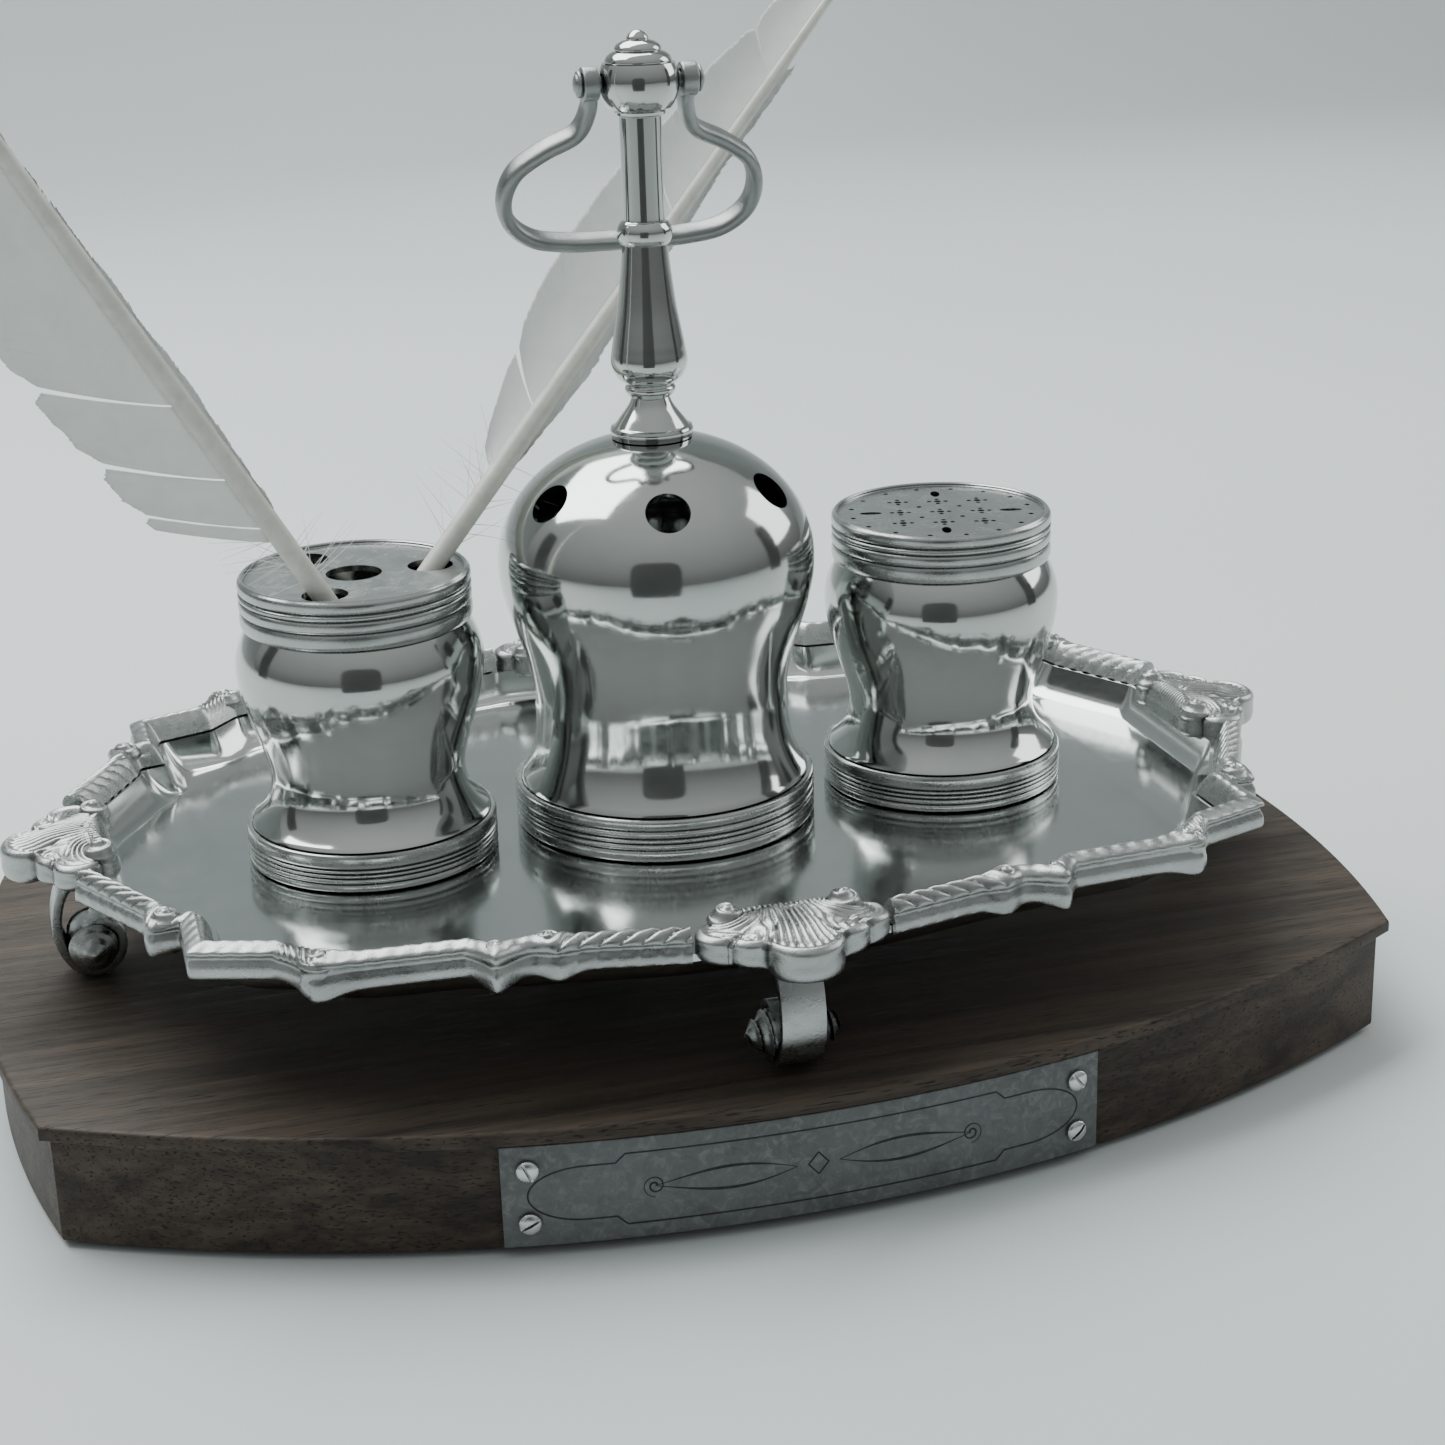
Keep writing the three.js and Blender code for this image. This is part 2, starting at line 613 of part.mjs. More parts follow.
function vesselBody(form) {
  const side = vesselSide(form);
  const low = form.footHeight + GAP;
  const inner = side.filter(([, z]) => z > low + form.wall && z < form.neckHeight - form.wall)
    .map(([r, z]) => [r - form.wall, z]).reverse();
  const collarTop = form.neckHeight + form.collarHeight;
  const collarInner = form.collarRadius - form.wall;
  const skirtInner = form.skirtRadius - form.wall;
  return turned([
    [form.skirtRadius, 2 * GAP], [form.skirtRadius, low], ...side,
    [form.collarRadius, form.neckHeight], [form.collarRadius, collarTop], [collarInner, collarTop],
    [collarInner, form.neckHeight - form.wall], ...inner,
    [skirtInner, low + form.wall], [skirtInner, 2 * GAP], [form.skirtRadius, 2 * GAP],
  ], FACETS.vessel);
}

// A cap lid: a reeded skirt that slips over the collar and a sunk plate with a raised rim.
function lidBlank() {
  const inside = vessel.collarRadius + RUNNING;
  const plateUnder = lidPlateTop - lid.plate;
  return turned([
    [0, plateUnder], [inside, plateUnder], [inside, lidBottom], ...reeds(lid.radius, lidBottom, lidTop, 3),
    [lid.radius - lid.rimWall, lidTop], [lid.radius - lid.rimWall, lidPlateTop], [0, lidPlateTop],
  ], FACETS.vessel);
}

const throughPlate = (radius, facets = FACETS.small) => rodAlongZ(radius, lidPlateTop - 3, lidPlateTop + 2, facets);

function inkwellLid() {
  const quillHoles = [0, 120, 240].map((angle) => throughPlate(lid.quillHole, FACETS.turned)
    .translate(lid.quillHoleOut, 0, 0).rotateZ(radians(angle)));
  return cut(lidBlank(), throughPlate(lid.inkHole, FACETS.turned), ...quillHoles);
}

function sanderLid() {
  const grid = [-1, 0, 1];
  const holes = grid.flatMap((i) => grid.map((j) => throughPlate(piercing.hole, 6)
    .translate(i * piercing.pitch, j * piercing.pitch, 0)));
  const slots = [-0.5, 0.5].flatMap((i) => [-0.5, 0.5].map((j) => throughPlate(piercing.slot, 4)
    .translate(i * piercing.pitch, j * piercing.pitch, 0)));
  const leaves = [0, 90, 180, 270].map((angle) => throughPlate(piercing.leaf, 8)
    .scale(0.45, 1, 1).translate(piercing.leafOut, 0, 0).rotateZ(radians(angle)));
  const rim = Array.from({ length: piercing.rimCount }, (_, i) => throughPlate(piercing.slot, 4)
    .translate(piercing.rimOut, 0, 0).rotateZ(2 * Math.PI * (i + 0.5) / piercing.rimCount));
  const tools = [...holes, ...slots, ...leaves, ...rim].map((tool) => tool.rotateZ(radians(piercing.turn)));
  return cut(lidBlank(), ...tools);
}

function buildVessel(name, x, lidGeometry) {
  const place = groupAt(x, 0, 0, stand);
  piece(`${name}_foot_ring`, footRing(vessel), finishes.cast, place);
  piece(`${name}_base`, floorDisc(vessel), finishes.satin, place);
  piece(`${name}_body`, vesselBody(vessel), finishes.polished, place);
  piece(`${name}_lid`, lidGeometry, finishes.satin, place);
  return place;
}

function buildLiner(place) {
  const low = GAP + baseDisc + GAP;
  const inner = liner.outerRadius - liner.wall;
  piece('ink_liner', turned([
    [0, low], [liner.outerRadius, low], [liner.outerRadius, low + liner.height], [inner, low + liner.height],
    [inner, low + liner.wall], [0, low + liner.wall],
  ], FACETS.vessel), finishes.glass, place);
}

// ---------------------------------------------------------------------------------------------------------------
// Quills
// ---------------------------------------------------------------------------------------------------------------

// A quill stands along its own +Z from the lid's plate, with its vane to its own +X.
function buildQuill(name, { at, up, vane, inside, outside, vaneStart, vaneWidths }, place) {
  const group = groupAt(at[0], at[1], lidPlateTop, place);
  const along = new THREE.Vector3(...up).normalize();
  const side = new THREE.Vector3(...vane);
  side.addScaledVector(along, -side.dot(along)).normalize();
  const across = new THREE.Vector3().crossVectors(along, side);
  group.quaternion.setFromRotationMatrix(new THREE.Matrix4().makeBasis(side, across, along));

  piece(`quill_${name}_shaft`, turned([
    [0, -inside], [quill.nib, -inside], [quill.barrel, quill.nibLength - inside], [quill.barrel, 0.2 * outside],
    [0.5 * (quill.barrel + quill.tip), 0.65 * outside], [quill.tip, outside], [0, outside],
  ], FACETS.small), finishes.shaft, group);

  const inner = quill.barrel + GAP + 0.1;
  const end = outside - quill.vaneTipMargin;
  const last = vaneWidths.length - 1;
  const edge = vaneWidths.map((width, i) => [inner + width, vaneStart + (end - vaneStart) * i / last]);
  const outline = [[inner, vaneStart], ...edge, [inner, end]];
  const half = quill.vaneThickness / 2;
  piece(`quill_${name}_vane`, raised(outline, -half, half).rotateX(Math.PI / 2), finishes.vane, group);
}

// ---------------------------------------------------------------------------------------------------------------
// Quill holder
// ---------------------------------------------------------------------------------------------------------------

function bellShell() {
  const { ankleRadius, footHeight, waistRadius, waistHeight, shoulderRadius, shoulderHeight, domeHeight, wall,
    skirtRadius, ankleFlow, waistFlow } = bell;
  const low = footHeight + GAP;
  const ankle = [ankleRadius, low];
  const waist = [waistRadius, waistHeight];
  const side = [
    ankle,
    ...flow(ankle, waist, 3, (t) => 1 - (1 - t) ** ankleFlow),
    ...flow(waist, [shoulderRadius, shoulderHeight], 4, (t) => Math.sin(t * Math.PI / 2) ** waistFlow),
  ];
  const domeSteps = 5;
  const dome = (radius, height) => Array.from({ length: domeSteps }, (_, i) => {
    const angle = (Math.PI / 2) * (i + 1) / domeSteps;
    const last = i === domeSteps - 1;
    return [last ? 0 : radius * Math.cos(angle), shoulderHeight + height * Math.sin(angle)];
  });
  const skirtInner = skirtRadius - wall;
  const solid = turned([
    [0, 2 * GAP], [skirtRadius, 2 * GAP], [skirtRadius, low], ...side, ...dome(shoulderRadius, domeHeight),
  ], FACETS.vessel);
  const hollow = turned([
    [0, -1], [skirtInner, -1], [skirtInner, low + wall],
    ...side.filter(([, z]) => z > low + wall).map(([r, z]) => [r - wall, z]),
    ...dome(shoulderRadius - wall, domeHeight - wall),
  ], FACETS.vessel);
  const share = bell.holeOut / shoulderRadius;
  const holeHeight = shoulderHeight + domeHeight * Math.sqrt(1 - share * share);
  const lean = Math.atan2(share / shoulderRadius, (holeHeight - shoulderHeight) / domeHeight ** 2);
  const holes = Array.from({ length: bell.holes }, (_, i) => rodAlongZ(bell.holeRadius, -6, 6, FACETS.turned)
    .rotateY(lean).translate(bell.holeOut, 0, holeHeight)
    .rotateZ(radians(bell.holeTurn + 360 * i / bell.holes)));
  const rodHole = rodAlongZ(rod.radius + RUNNING, domeTop - 10, domeTop + 10);
  return cut(solid, hollow, rodHole, ...holes);
}

function buildStem(place) {
  const socket = rodAlongZ(rod.radius + RUNNING, -1, rod.above + GAP).translate(0, 0, domeTop);
  const column = turned([
    [0, stemTurning[0][1]], ...stemTurning, [0, stemTurning.at(-1)[1]],
  ]).translate(0, 0, domeTop);
  piece('stem', cut(column, socket), finishes.polished, place);

  piece('stem_rod', rodAlongZ(rod.radius, domeTop - rod.below, domeTop + rod.above), finishes.cast, place);

  const nutShare = nut.radius / (bell.shoulderRadius - bell.wall);
  const underDome = bell.shoulderHeight + (bell.domeHeight - bell.wall) * Math.sqrt(1 - nutShare * nutShare);
  const nutTop = underDome - 2 * GAP;
  const blank = rodAlongZ(nut.radius, nutTop - nut.thickness, nutTop, 6);
  const bore = rodAlongZ(rod.radius + RUNNING, nutTop - nut.thickness - 1, nutTop + 1);
  piece('stem_nut', cut(blank, bore), finishes.cast, place);
}

function buildFinial(place) {
  const { neck, rings, tip } = finialTurning;
  const startAngle = Math.asin((neck.at(-1)[1] - ball.height) / ball.radius);
  const endAngle = Math.asin((rings[0][1] - ball.height) / ball.radius);
  const steps = 6;
  const sphere = Array.from({ length: steps + 1 }, (_, i) => {
    const angle = startAngle + (endAngle - startAngle) * i / steps;
    return [ball.radius * Math.cos(angle), ball.height + ball.radius * Math.sin(angle)];
  });
  const body = turned([[0, neck[0][1]], neck[0], ...sphere, ...rings, [0, tip]]).translate(0, 0, stemTop);
  const bore = rodAlongZ(ball.pivotHole, -2 * ball.radius, 2 * ball.radius).rotateY(Math.PI / 2)
    .translate(0, 0, pivotHeight);
  piece('finial', cut(body, bore), finishes.polished, place);
}

function buildBail(place) {
  const half = bailLine.map(([x, drop]) => new THREE.Vector3(x, 0, -drop));
  const other = [...half].reverse().map(({ x, z }) => new THREE.Vector3(-x, 0, z));
  const curve = new THREE.CatmullRomCurve3([...half, ...other]);
  const section = new THREE.Shape(Array.from({ length: 8 }, (_, i) => {
    const angle = (i + 0.5) * Math.PI / 4;
    return new THREE.Vector2(bail.wide / 2 * Math.cos(angle), bail.thick / 2 * Math.sin(angle));
  }));
  const loop = new THREE.ExtrudeGeometry(section, { steps: 36, extrudePath: curve, bevelEnabled: false });
  const alongX = (radius, middle, length) => rodAlongZ(radius, -length / 2, length / 2, FACETS.turned)
    .rotateY(Math.PI / 2).translate(middle, 0, 0);
  const eyes = [-eyeAt, eyeAt].map((x) => alongX(bail.eyeRadius, x, bail.eyeThickness));
  const bore = alongX(pin.radius + RUNNING, 0, 4 * eyeAt);
  const pivot = groupAt(0, 0, pivotHeight, place);
  const swung = groupAt(0, 0, 0, pivot);
  swung.rotation.x = radians(bail.restAngle);
  piece('bail', cut(join(loop, ...eyes), bore), finishes.cast, swung);

  const headAt = eyeAt + bail.eyeThickness / 2 + GAP;
  const rivet = () => turned([
    [0, pin.inner], [pin.radius, pin.inner], [pin.radius, headAt], [pin.headRadius, headAt],
    [0.8 * pin.headRadius, headAt + pin.headThickness], [0, headAt + pin.headThickness],
  ], FACETS.small);
  piece('pivot_pin_right', rivet().rotateY(Math.PI / 2), finishes.cast, pivot);
  piece('pivot_pin_left', rivet().rotateY(-Math.PI / 2), finishes.cast, pivot);
}

function buildHolder() {
  const place = groupAt(0, 0, 0, stand);
  piece('holder_foot_ring', footRing(bell), finishes.cast, place);
  piece('holder_base', floorDisc(bell), finishes.satin, place);
  piece('holder_shell', bellShell(), finishes.polished, place);
  buildStem(place);
  buildFinial(place);
  buildBail(place);
}

// ---------------------------------------------------------------------------------------------------------------
// The whole inkstand
// ---------------------------------------------------------------------------------------------------------------

buildPlinth();
buildNameplate();
buildTrayPlate();
buildBorders();
buildShells();
buildFeet();
const inkwell = buildVessel('inkwell', -vesselPitch, inkwellLid());
buildLiner(inkwell);
buildQuill('left', quills.left, inkwell);
buildQuill('right', quills.right, inkwell);
buildHolder();
buildVessel('sander', vesselPitch, sanderLid());

export default scene;
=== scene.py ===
"""Finished look of the inkstand: a pewter tray, inkwell, quill holder and sander on a walnut plinth.

Sizes stand in millimetres in each part's dataclass. Meshes are made in metres in the frame's own axes: +X runs
along the row of vessels towards the sander, +Z is up and the nameplate faces -Y.
"""
import sys
import logging
import math
from dataclasses import dataclass, field
from enum import Enum
from typing import Callable, Iterable, Sequence

import bmesh
import bpy
import numpy as np
from mathutils import Matrix, Vector


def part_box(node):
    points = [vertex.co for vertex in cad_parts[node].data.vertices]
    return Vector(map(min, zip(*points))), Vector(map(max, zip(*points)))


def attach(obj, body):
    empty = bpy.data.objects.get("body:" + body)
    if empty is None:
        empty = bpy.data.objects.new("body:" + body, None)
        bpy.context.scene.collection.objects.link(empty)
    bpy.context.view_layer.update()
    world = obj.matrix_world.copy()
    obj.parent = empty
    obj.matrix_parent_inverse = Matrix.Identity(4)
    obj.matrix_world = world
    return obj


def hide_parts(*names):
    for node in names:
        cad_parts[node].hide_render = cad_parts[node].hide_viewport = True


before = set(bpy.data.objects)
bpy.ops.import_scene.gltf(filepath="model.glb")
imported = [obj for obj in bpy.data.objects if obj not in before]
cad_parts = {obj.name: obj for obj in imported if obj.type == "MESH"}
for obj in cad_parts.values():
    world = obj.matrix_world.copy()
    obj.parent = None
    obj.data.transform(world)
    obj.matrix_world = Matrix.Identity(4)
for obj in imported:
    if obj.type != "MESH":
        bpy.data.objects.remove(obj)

# Metres in a millimetre, and the room that the frame leaves between pieces seated on one another.
MM = 0.001
GAP = 0.3
log = logging.getLogger("inkstand")
Colour = tuple[float, float, float]
Profile = Sequence[tuple[float, float]]


# --- Places read from the frame ---

def low(node: str) -> Vector:
    """Lowest corner of a frame node, in millimetres."""
    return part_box(node)[0] / MM


def high(node: str) -> Vector:
    """Highest corner of a frame node, in millimetres."""
    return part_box(node)[1] / MM


def middle(node: str) -> Vector:
    """Centre of a frame node's box, in millimetres."""
    return (low(node) + high(node)) / 2


# --- Lines ---

def spline(points: Sequence[Sequence[float]], steps: int) -> np.ndarray:
    """Draws a smooth curve through points.

    Args:
        points: Points the curve passes through.
        steps: Stretches between each two points.

    Returns:
        The curve's points, as rows.
    """
    given = np.asarray(points, float)
    padded = np.vstack([2 * given[0] - given[1], given, 2 * given[-1] - given[-2]])
    curve = []
    for before, start, end, after in zip(padded, padded[1:], padded[2:], padded[3:]):
        for t in np.linspace(0, 1, steps, endpoint=False):
            curve.append(0.5 * (2 * start + (end - before) * t
                                + (2 * before - 5 * start + 4 * end - after) * t * t
                                + (3 * start - before - 3 * end + after) * t ** 3))
    return np.vstack([curve, given[-1]])


def filleted(points: Sequence[Sequence[float]], reach: float, steps: int = 3, closed: bool = False) -> np.ndarray:
    """Rounds each corner of a line.

    Args:
        points: The line's corners.
        reach: Distance from a corner at which its round starts, at most.
        steps: Stretches in each round.
        closed: Whether the line closes on itself.

    Returns:
        The rounded line, as rows. Only the first two columns set how long an edge is.
    """
    given = np.asarray(points, float)
    count = len(given)
    line = []
    for i, corner in enumerate(given):
        if not closed and i in (0, count - 1):
            line.append(corner)
            continue
        before, after = given[i - 1], given[(i + 1) % count]
        sides = []
        for other in (before, after):
            length = np.linalg.norm((other - corner)[:2])
            share = min(reach / length, 0.45) if length > 1e-9 else 0.0
            sides.append(corner + (other - corner) * share)
        for t in np.linspace(0, 1, steps + 1):
            line.append((1 - t) ** 2 * sides[0] + 2 * t * (1 - t) * corner + t * t * sides[1])
    return np.array(line)


def ease(value: np.ndarray | float, start: float, end: float) -> np.ndarray | float:
    """A smooth step from 0 at start to 1 at end."""
    t = np.clip((np.asarray(value, float) - start) / (end - start), 0, 1)
    return t * t * (3 - 2 * t)


def between(value: float, start: float, full: float, fading: float, end: float) -> float:
    """A smooth window that opens from start to full and closes from fading to end."""
    return ease(value, start, full) * (1 - ease(value, fading, end))


def measured(line: np.ndarray) -> np.ndarray:
    """Distance along a line at each of its points."""
    return np.concatenate([[0], np.cumsum(np.linalg.norm(np.diff(line[:, :2], axis=0), axis=1))])


def evenly(line: np.ndarray, pitch: float) -> np.ndarray:
    """Adds points to a line so that no stretch is longer than a pitch.

    Args:
        line: Points as rows.
        pitch: Longest stretch.

    Returns:
        The line with its own points and the added ones.
    """
    rows = [line[0]]
    for start, end in zip(line, line[1:]):
        count = max(1, math.ceil(np.linalg.norm((end - start)[:2]) / pitch))
        rows.extend(start + (end - start) * (k + 1) / count for k in range(count))
    return np.array(rows)


# --- Meshes ---

class Skin:
    """Vertices and faces of one piece, in millimetres."""

    def __init__(self) -> None:
        """Starts an empty skin."""
        self.points: list[np.ndarray] = []
        self.faces: list[Sequence[int]] = []
        self.count = 0

    def grid(self, rows: np.ndarray, around: bool = False, back: bool = False) -> "Skin":
        """Adds a sheet of four-sided faces.

        Args:
            rows: Points of shape (rows, columns, 3).
            around: Whether the last column joins the first.
            back: Whether the last row joins the first.

        Returns:
            The skin itself.
        """
        rows = np.asarray(rows, float)
        height, width = rows.shape[:2]
        i = np.arange(height if back else height - 1)[:, None]
        j = np.arange(width if around else width - 1)[None, :]
        below, right = (i + 1) % height, (j + 1) % width
        corners = np.stack([i * width + j, i * width + right, below * width + right, below * width + j], axis=-1)
        self.faces.extend((corners.reshape(-1, 4) + self.count).tolist())
        self.points.append(rows.reshape(-1, 3))
        self.count += height * width
        return self

    def lid(self, loop: np.ndarray) -> "Skin":
        """Closes a loop of points with one flat face.

        Args:
            loop: Points of the loop, in order.

        Returns:
            The skin itself.
        """
        self.faces.append(list(range(self.count, self.count + len(loop))))
        self.points.append(np.asarray(loop, float))
        self.count += len(loop)
        return self

    def add(self, other: "Skin", move: Matrix | None = None) -> "Skin":
        """Joins another skin to this one.

        Args:
            other: The skin to copy in.
            move: Where it goes, in millimetres.

        Returns:
            The skin itself.
        """
        for block in other.points:
            if move is not None:
                turn = np.array(move.to_3x3())
                block = block @ turn.T + np.array(move.translation)
            self.points.append(block)
        self.faces.extend([[k + self.count for k in face] for face in other.faces])
        self.count += other.count
        return self

    def moved(self, move: Matrix) -> "Skin":
        """A copy of the skin in another place."""
        return Skin().add(self, move)

    def mesh(self, name: str, sharp: float) -> bpy.types.Mesh:
        """Makes a mesh with merged seams and outward faces.

        Args:
            name: The mesh's name.
            sharp: Angle in degrees above which an edge stays sharp.

        Returns:
            The mesh, in metres.
        """
        mesh = bpy.data.meshes.new(name)
        mesh.from_pydata((np.vstack(self.points) * MM).tolist(), [], self.faces)
        work = bmesh.new()
        work.from_mesh(mesh)
        bmesh.ops.remove_doubles(work, verts=work.verts, dist=2e-6)
        bmesh.ops.dissolve_degenerate(work, edges=work.edges, dist=1e-6)
        bmesh.ops.recalc_face_normals(work, faces=work.faces)
        work.to_mesh(mesh)
        work.free()
        mesh.shade_smooth()
        mesh.set_sharp_from_angle(angle=math.radians(sharp))
        return mesh


def closed(rows: np.ndarray) -> Skin:
    """A skin round loops of points, with a flat face on the first and the last loop."""
    return Skin().grid(rows, around=True).lid(rows[0]).lid(rows[-1])


def ring(radius: np.ndarray | float, angle: np.ndarray, height: np.ndarray | float) -> np.ndarray:
    """Points round +Z at a radius and a height, each one for all or one for each angle."""
    return np.stack(np.broadcast_arrays(radius * np.cos(angle), radius * np.sin(angle), height), axis=1)


def lathe(profile: Profile, segments: int = 160) -> Skin:
    """Turns a profile about +Z.

    Args:
        profile: Points as (radius, height).
        segments: Stretches round the axis.

    Returns:
        The turned skin.
    """
    angle = np.linspace(0, 2 * np.pi, segments, endpoint=False)
    return Skin().grid([ring(radius, angle, height) for radius, height in np.asarray(profile, float)], around=True)


def swept(line: np.ndarray, section: np.ndarray, across: np.ndarray, scale: np.ndarray | None = None) -> Skin:
    """Carries a closed section along a line, with capped ends.

    Args:
        line: Points of the line, as rows.
        section: Closed section as (across, outward) rows.
        across: Direction of the section's first axis, one for all or one for each point.
        scale: Size of the section at each point.

    Returns:
        The swept skin.
    """
    tangent = np.gradient(line, axis=0)
    tangent /= np.linalg.norm(tangent, axis=1, keepdims=True)
    side = np.broadcast_to(across, line.shape)
    side = side - (side * tangent).sum(axis=1, keepdims=True) * tangent
    side = side / np.linalg.norm(side, axis=1, keepdims=True)
    outward = np.cross(tangent, side)
    size = np.ones(len(line)) if scale is None else scale
    rows = (line[:, None] + (side[:, None] * section[None, :, :1] + outward[:, None] * section[None, :, 1:])
            * size[:, None, None])
    return closed(rows)


def ring_section(width: float, height: float, count: int = 16, power: float = 2.0) -> np.ndarray:
    """A rounded closed section.

    Args:
        width: Size across.
        height: Size outward.
        count: Number of points.
        power: 2 for an ellipse, and more for a squarer shape.

    Returns:
        Points as (across, outward) rows.
    """
    angle = np.linspace(0, 2 * np.pi, count, endpoint=False)
    bend = lambda v: np.sign(v) * np.abs(v) ** (2 / power)
    return np.stack([width / 2 * bend(np.cos(angle)), height / 2 * bend(np.sin(angle))], axis=1)


def at(x: float = 0, y: float = 0, z: float = 0) -> Matrix:
    """A move in millimetres."""
    return Matrix.Translation((x, y, z))


def turn(angle: float, axis: str = "Z") -> Matrix:
    """A turn in degrees about an axis through the origin."""
    return Matrix.Rotation(math.radians(angle), 4, axis)


# --- Finishes ---

def set_stops(ramp: bpy.types.Node, stops: Sequence[tuple[float, Colour]]) -> None:
    """Sets a colour ramp's stops.

    Args:
        ramp: The ramp's node.
        stops: Places from 0 to 1 and their colours.
    """
    elements = ramp.color_ramp.elements
    while len(elements) < len(stops):
        elements.new(0.5)
    for element, (where, colour) in zip(elements, stops):
        element.position = where
        element.color = (*colour, 1)


class Graph:
    """Adds and joins the nodes of one material."""

    def __init__(self, name: str) -> None:
        """Starts a material with one shader."""
        self.material = bpy.data.materials.new(f"finish_{name}")
        self.material.use_nodes = True
        self.tree = self.material.node_tree
        self.tree.nodes.clear()
        self.shader = self.node("ShaderNodeBsdfPrincipled")
        output = self.node("ShaderNodeOutputMaterial")
        self.link(self.shader.outputs[0], output.inputs[0])

    def node(self, kind: str, **settings: object) -> bpy.types.Node:
        """Adds a node.

        Args:
            kind: The node's type.
            **settings: Properties of the node.

        Returns:
            The node.
        """
        made = self.tree.nodes.new(kind)
        for key, value in settings.items():
            setattr(made, key, value)
        return made

    def link(self, source: bpy.types.NodeSocket, target: bpy.types.NodeSocket) -> None:
        """Joins two sockets."""
        self.tree.links.new(source, target)

    def set(self, **values: object) -> None:
        """Sets the shader's own sockets, with _ for a space in a socket's name."""
        for key, value in values.items():
            socket = self.shader.inputs[key.replace("_", " ")]
            socket.default_value = (*value, 1.0) if isinstance(value, tuple) and len(value) == 3 else value

    def feed(self, socket: str, source: bpy.types.NodeSocket) -> None:
        """Joins a source to one of the shader's sockets."""
        self.link(source, self.shader.inputs[socket])

    def place(self, scale: tuple[float, float, float]) -> bpy.types.NodeSocket:
        """The piece's own coordinates, stretched by a scale per metre.

        Args:
            scale: Stretch along each axis.

        Returns:
            The coordinates.
        """
        coordinates = self.node("ShaderNodeTexCoord")
        mapping = self.node("ShaderNodeMapping")
        mapping.inputs["Scale"].default_value = scale
        self.link(coordinates.outputs["Object"], mapping.inputs["Vector"])
        return mapping.outputs[0]

    def noise(self, scale: tuple[float, float, float], detail: float = 4, rough: float = 0.55,
              twist: float = 0) -> bpy.types.NodeSocket:
        """Cloudy noise.

        Args:
            scale: Cells per metre along each axis.
            detail: Number of finer layers.
            rough: Strength of the finer layers.
            twist: Distortion.

        Returns:
            The noise's value, about 0.5 in the middle.
        """
        texture = self.node("ShaderNodeTexNoise")
        self.link(self.place(scale), texture.inputs["Vector"])
        for key, value in (("Scale", 1.0), ("Detail", detail), ("Roughness", rough), ("Distortion", twist)):
            texture.inputs[key].default_value = value
        return texture.outputs["Fac"]

    def span(self, value: bpy.types.NodeSocket, from_low: float, from_high: float, to_low: float,
             to_high: float) -> bpy.types.NodeSocket:
        """Maps one range of a value onto another, held at its ends.

        Args:
            value: The value to map.
            from_low: Low end of its range.
            from_high: High end of its range.
            to_low: What the low end becomes.
            to_high: What the high end becomes.

        Returns:
            The mapped value.
        """
        node = self.node("ShaderNodeMapRange")
        self.link(value, node.inputs["Value"])
        for key, number in (("From Min", from_low), ("From Max", from_high), ("To Min", to_low), ("To Max", to_high)):
            node.inputs[key].default_value = number
        return node.outputs["Result"]

    def math(self, kind: str, first: bpy.types.NodeSocket, second: object) -> bpy.types.NodeSocket:
        """Works out one value from two.

        Args:
            kind: The operation.
            first: The first value.
            second: The second value, a socket or a number.

        Returns:
            The result.
        """
        node = self.node("ShaderNodeMath", operation=kind)
        self.link(first, node.inputs[0])
        if isinstance(second, (int, float)):
            node.inputs[1].default_value = second
        else:
            self.link(second, node.inputs[1])
        return node.outputs[0]

    def ramp(self, value: bpy.types.NodeSocket, stops: Sequence[tuple[float, Colour]]) -> bpy.types.NodeSocket:
        """Colours along a value.

        Args:
            value: The value, from 0 to 1.
            stops: Places and their colours.

        Returns:
            The colour.
        """
        node = self.node("ShaderNodeValToRGB")
        set_stops(node, stops)
        self.link(value, node.inputs[0])
        return node.outputs[0]

    def mix(self, share: bpy.types.NodeSocket, first: object, second: object) -> bpy.types.NodeSocket:
        """A colour between two, each a socket or a colour.

        Args:
            share: The second colour's share.
            first: The first colour.
            second: The second colour.

        Returns:
            The colour.
        """
        node = self.node("ShaderNodeMix", data_type="RGBA")
        self.link(share, node.inputs[0])
        for socket, colour in ((node.inputs[6], first), (node.inputs[7], second)):
            if isinstance(colour, tuple):
                socket.default_value = (*colour, 1)
            else:
                self.link(colour, socket)
        return node.outputs[2]

    def bump(self, height: bpy.types.NodeSocket, depth: float, under: bpy.types.NodeSocket | None = None
             ) -> bpy.types.NodeSocket:
        """A bumped normal.

        Args:
            height: Height from 0 to 1.
            depth: Depth in millimetres.
            under: Another bump that this one lies on.

        Returns:
            The normal.
        """
        node = self.node("ShaderNodeBump")
        node.inputs["Distance"].default_value = depth * MM
        self.link(height, node.inputs["Height"])
        if under is not None:
            self.link(under, node.inputs["Normal"])
        return node.outputs[0]


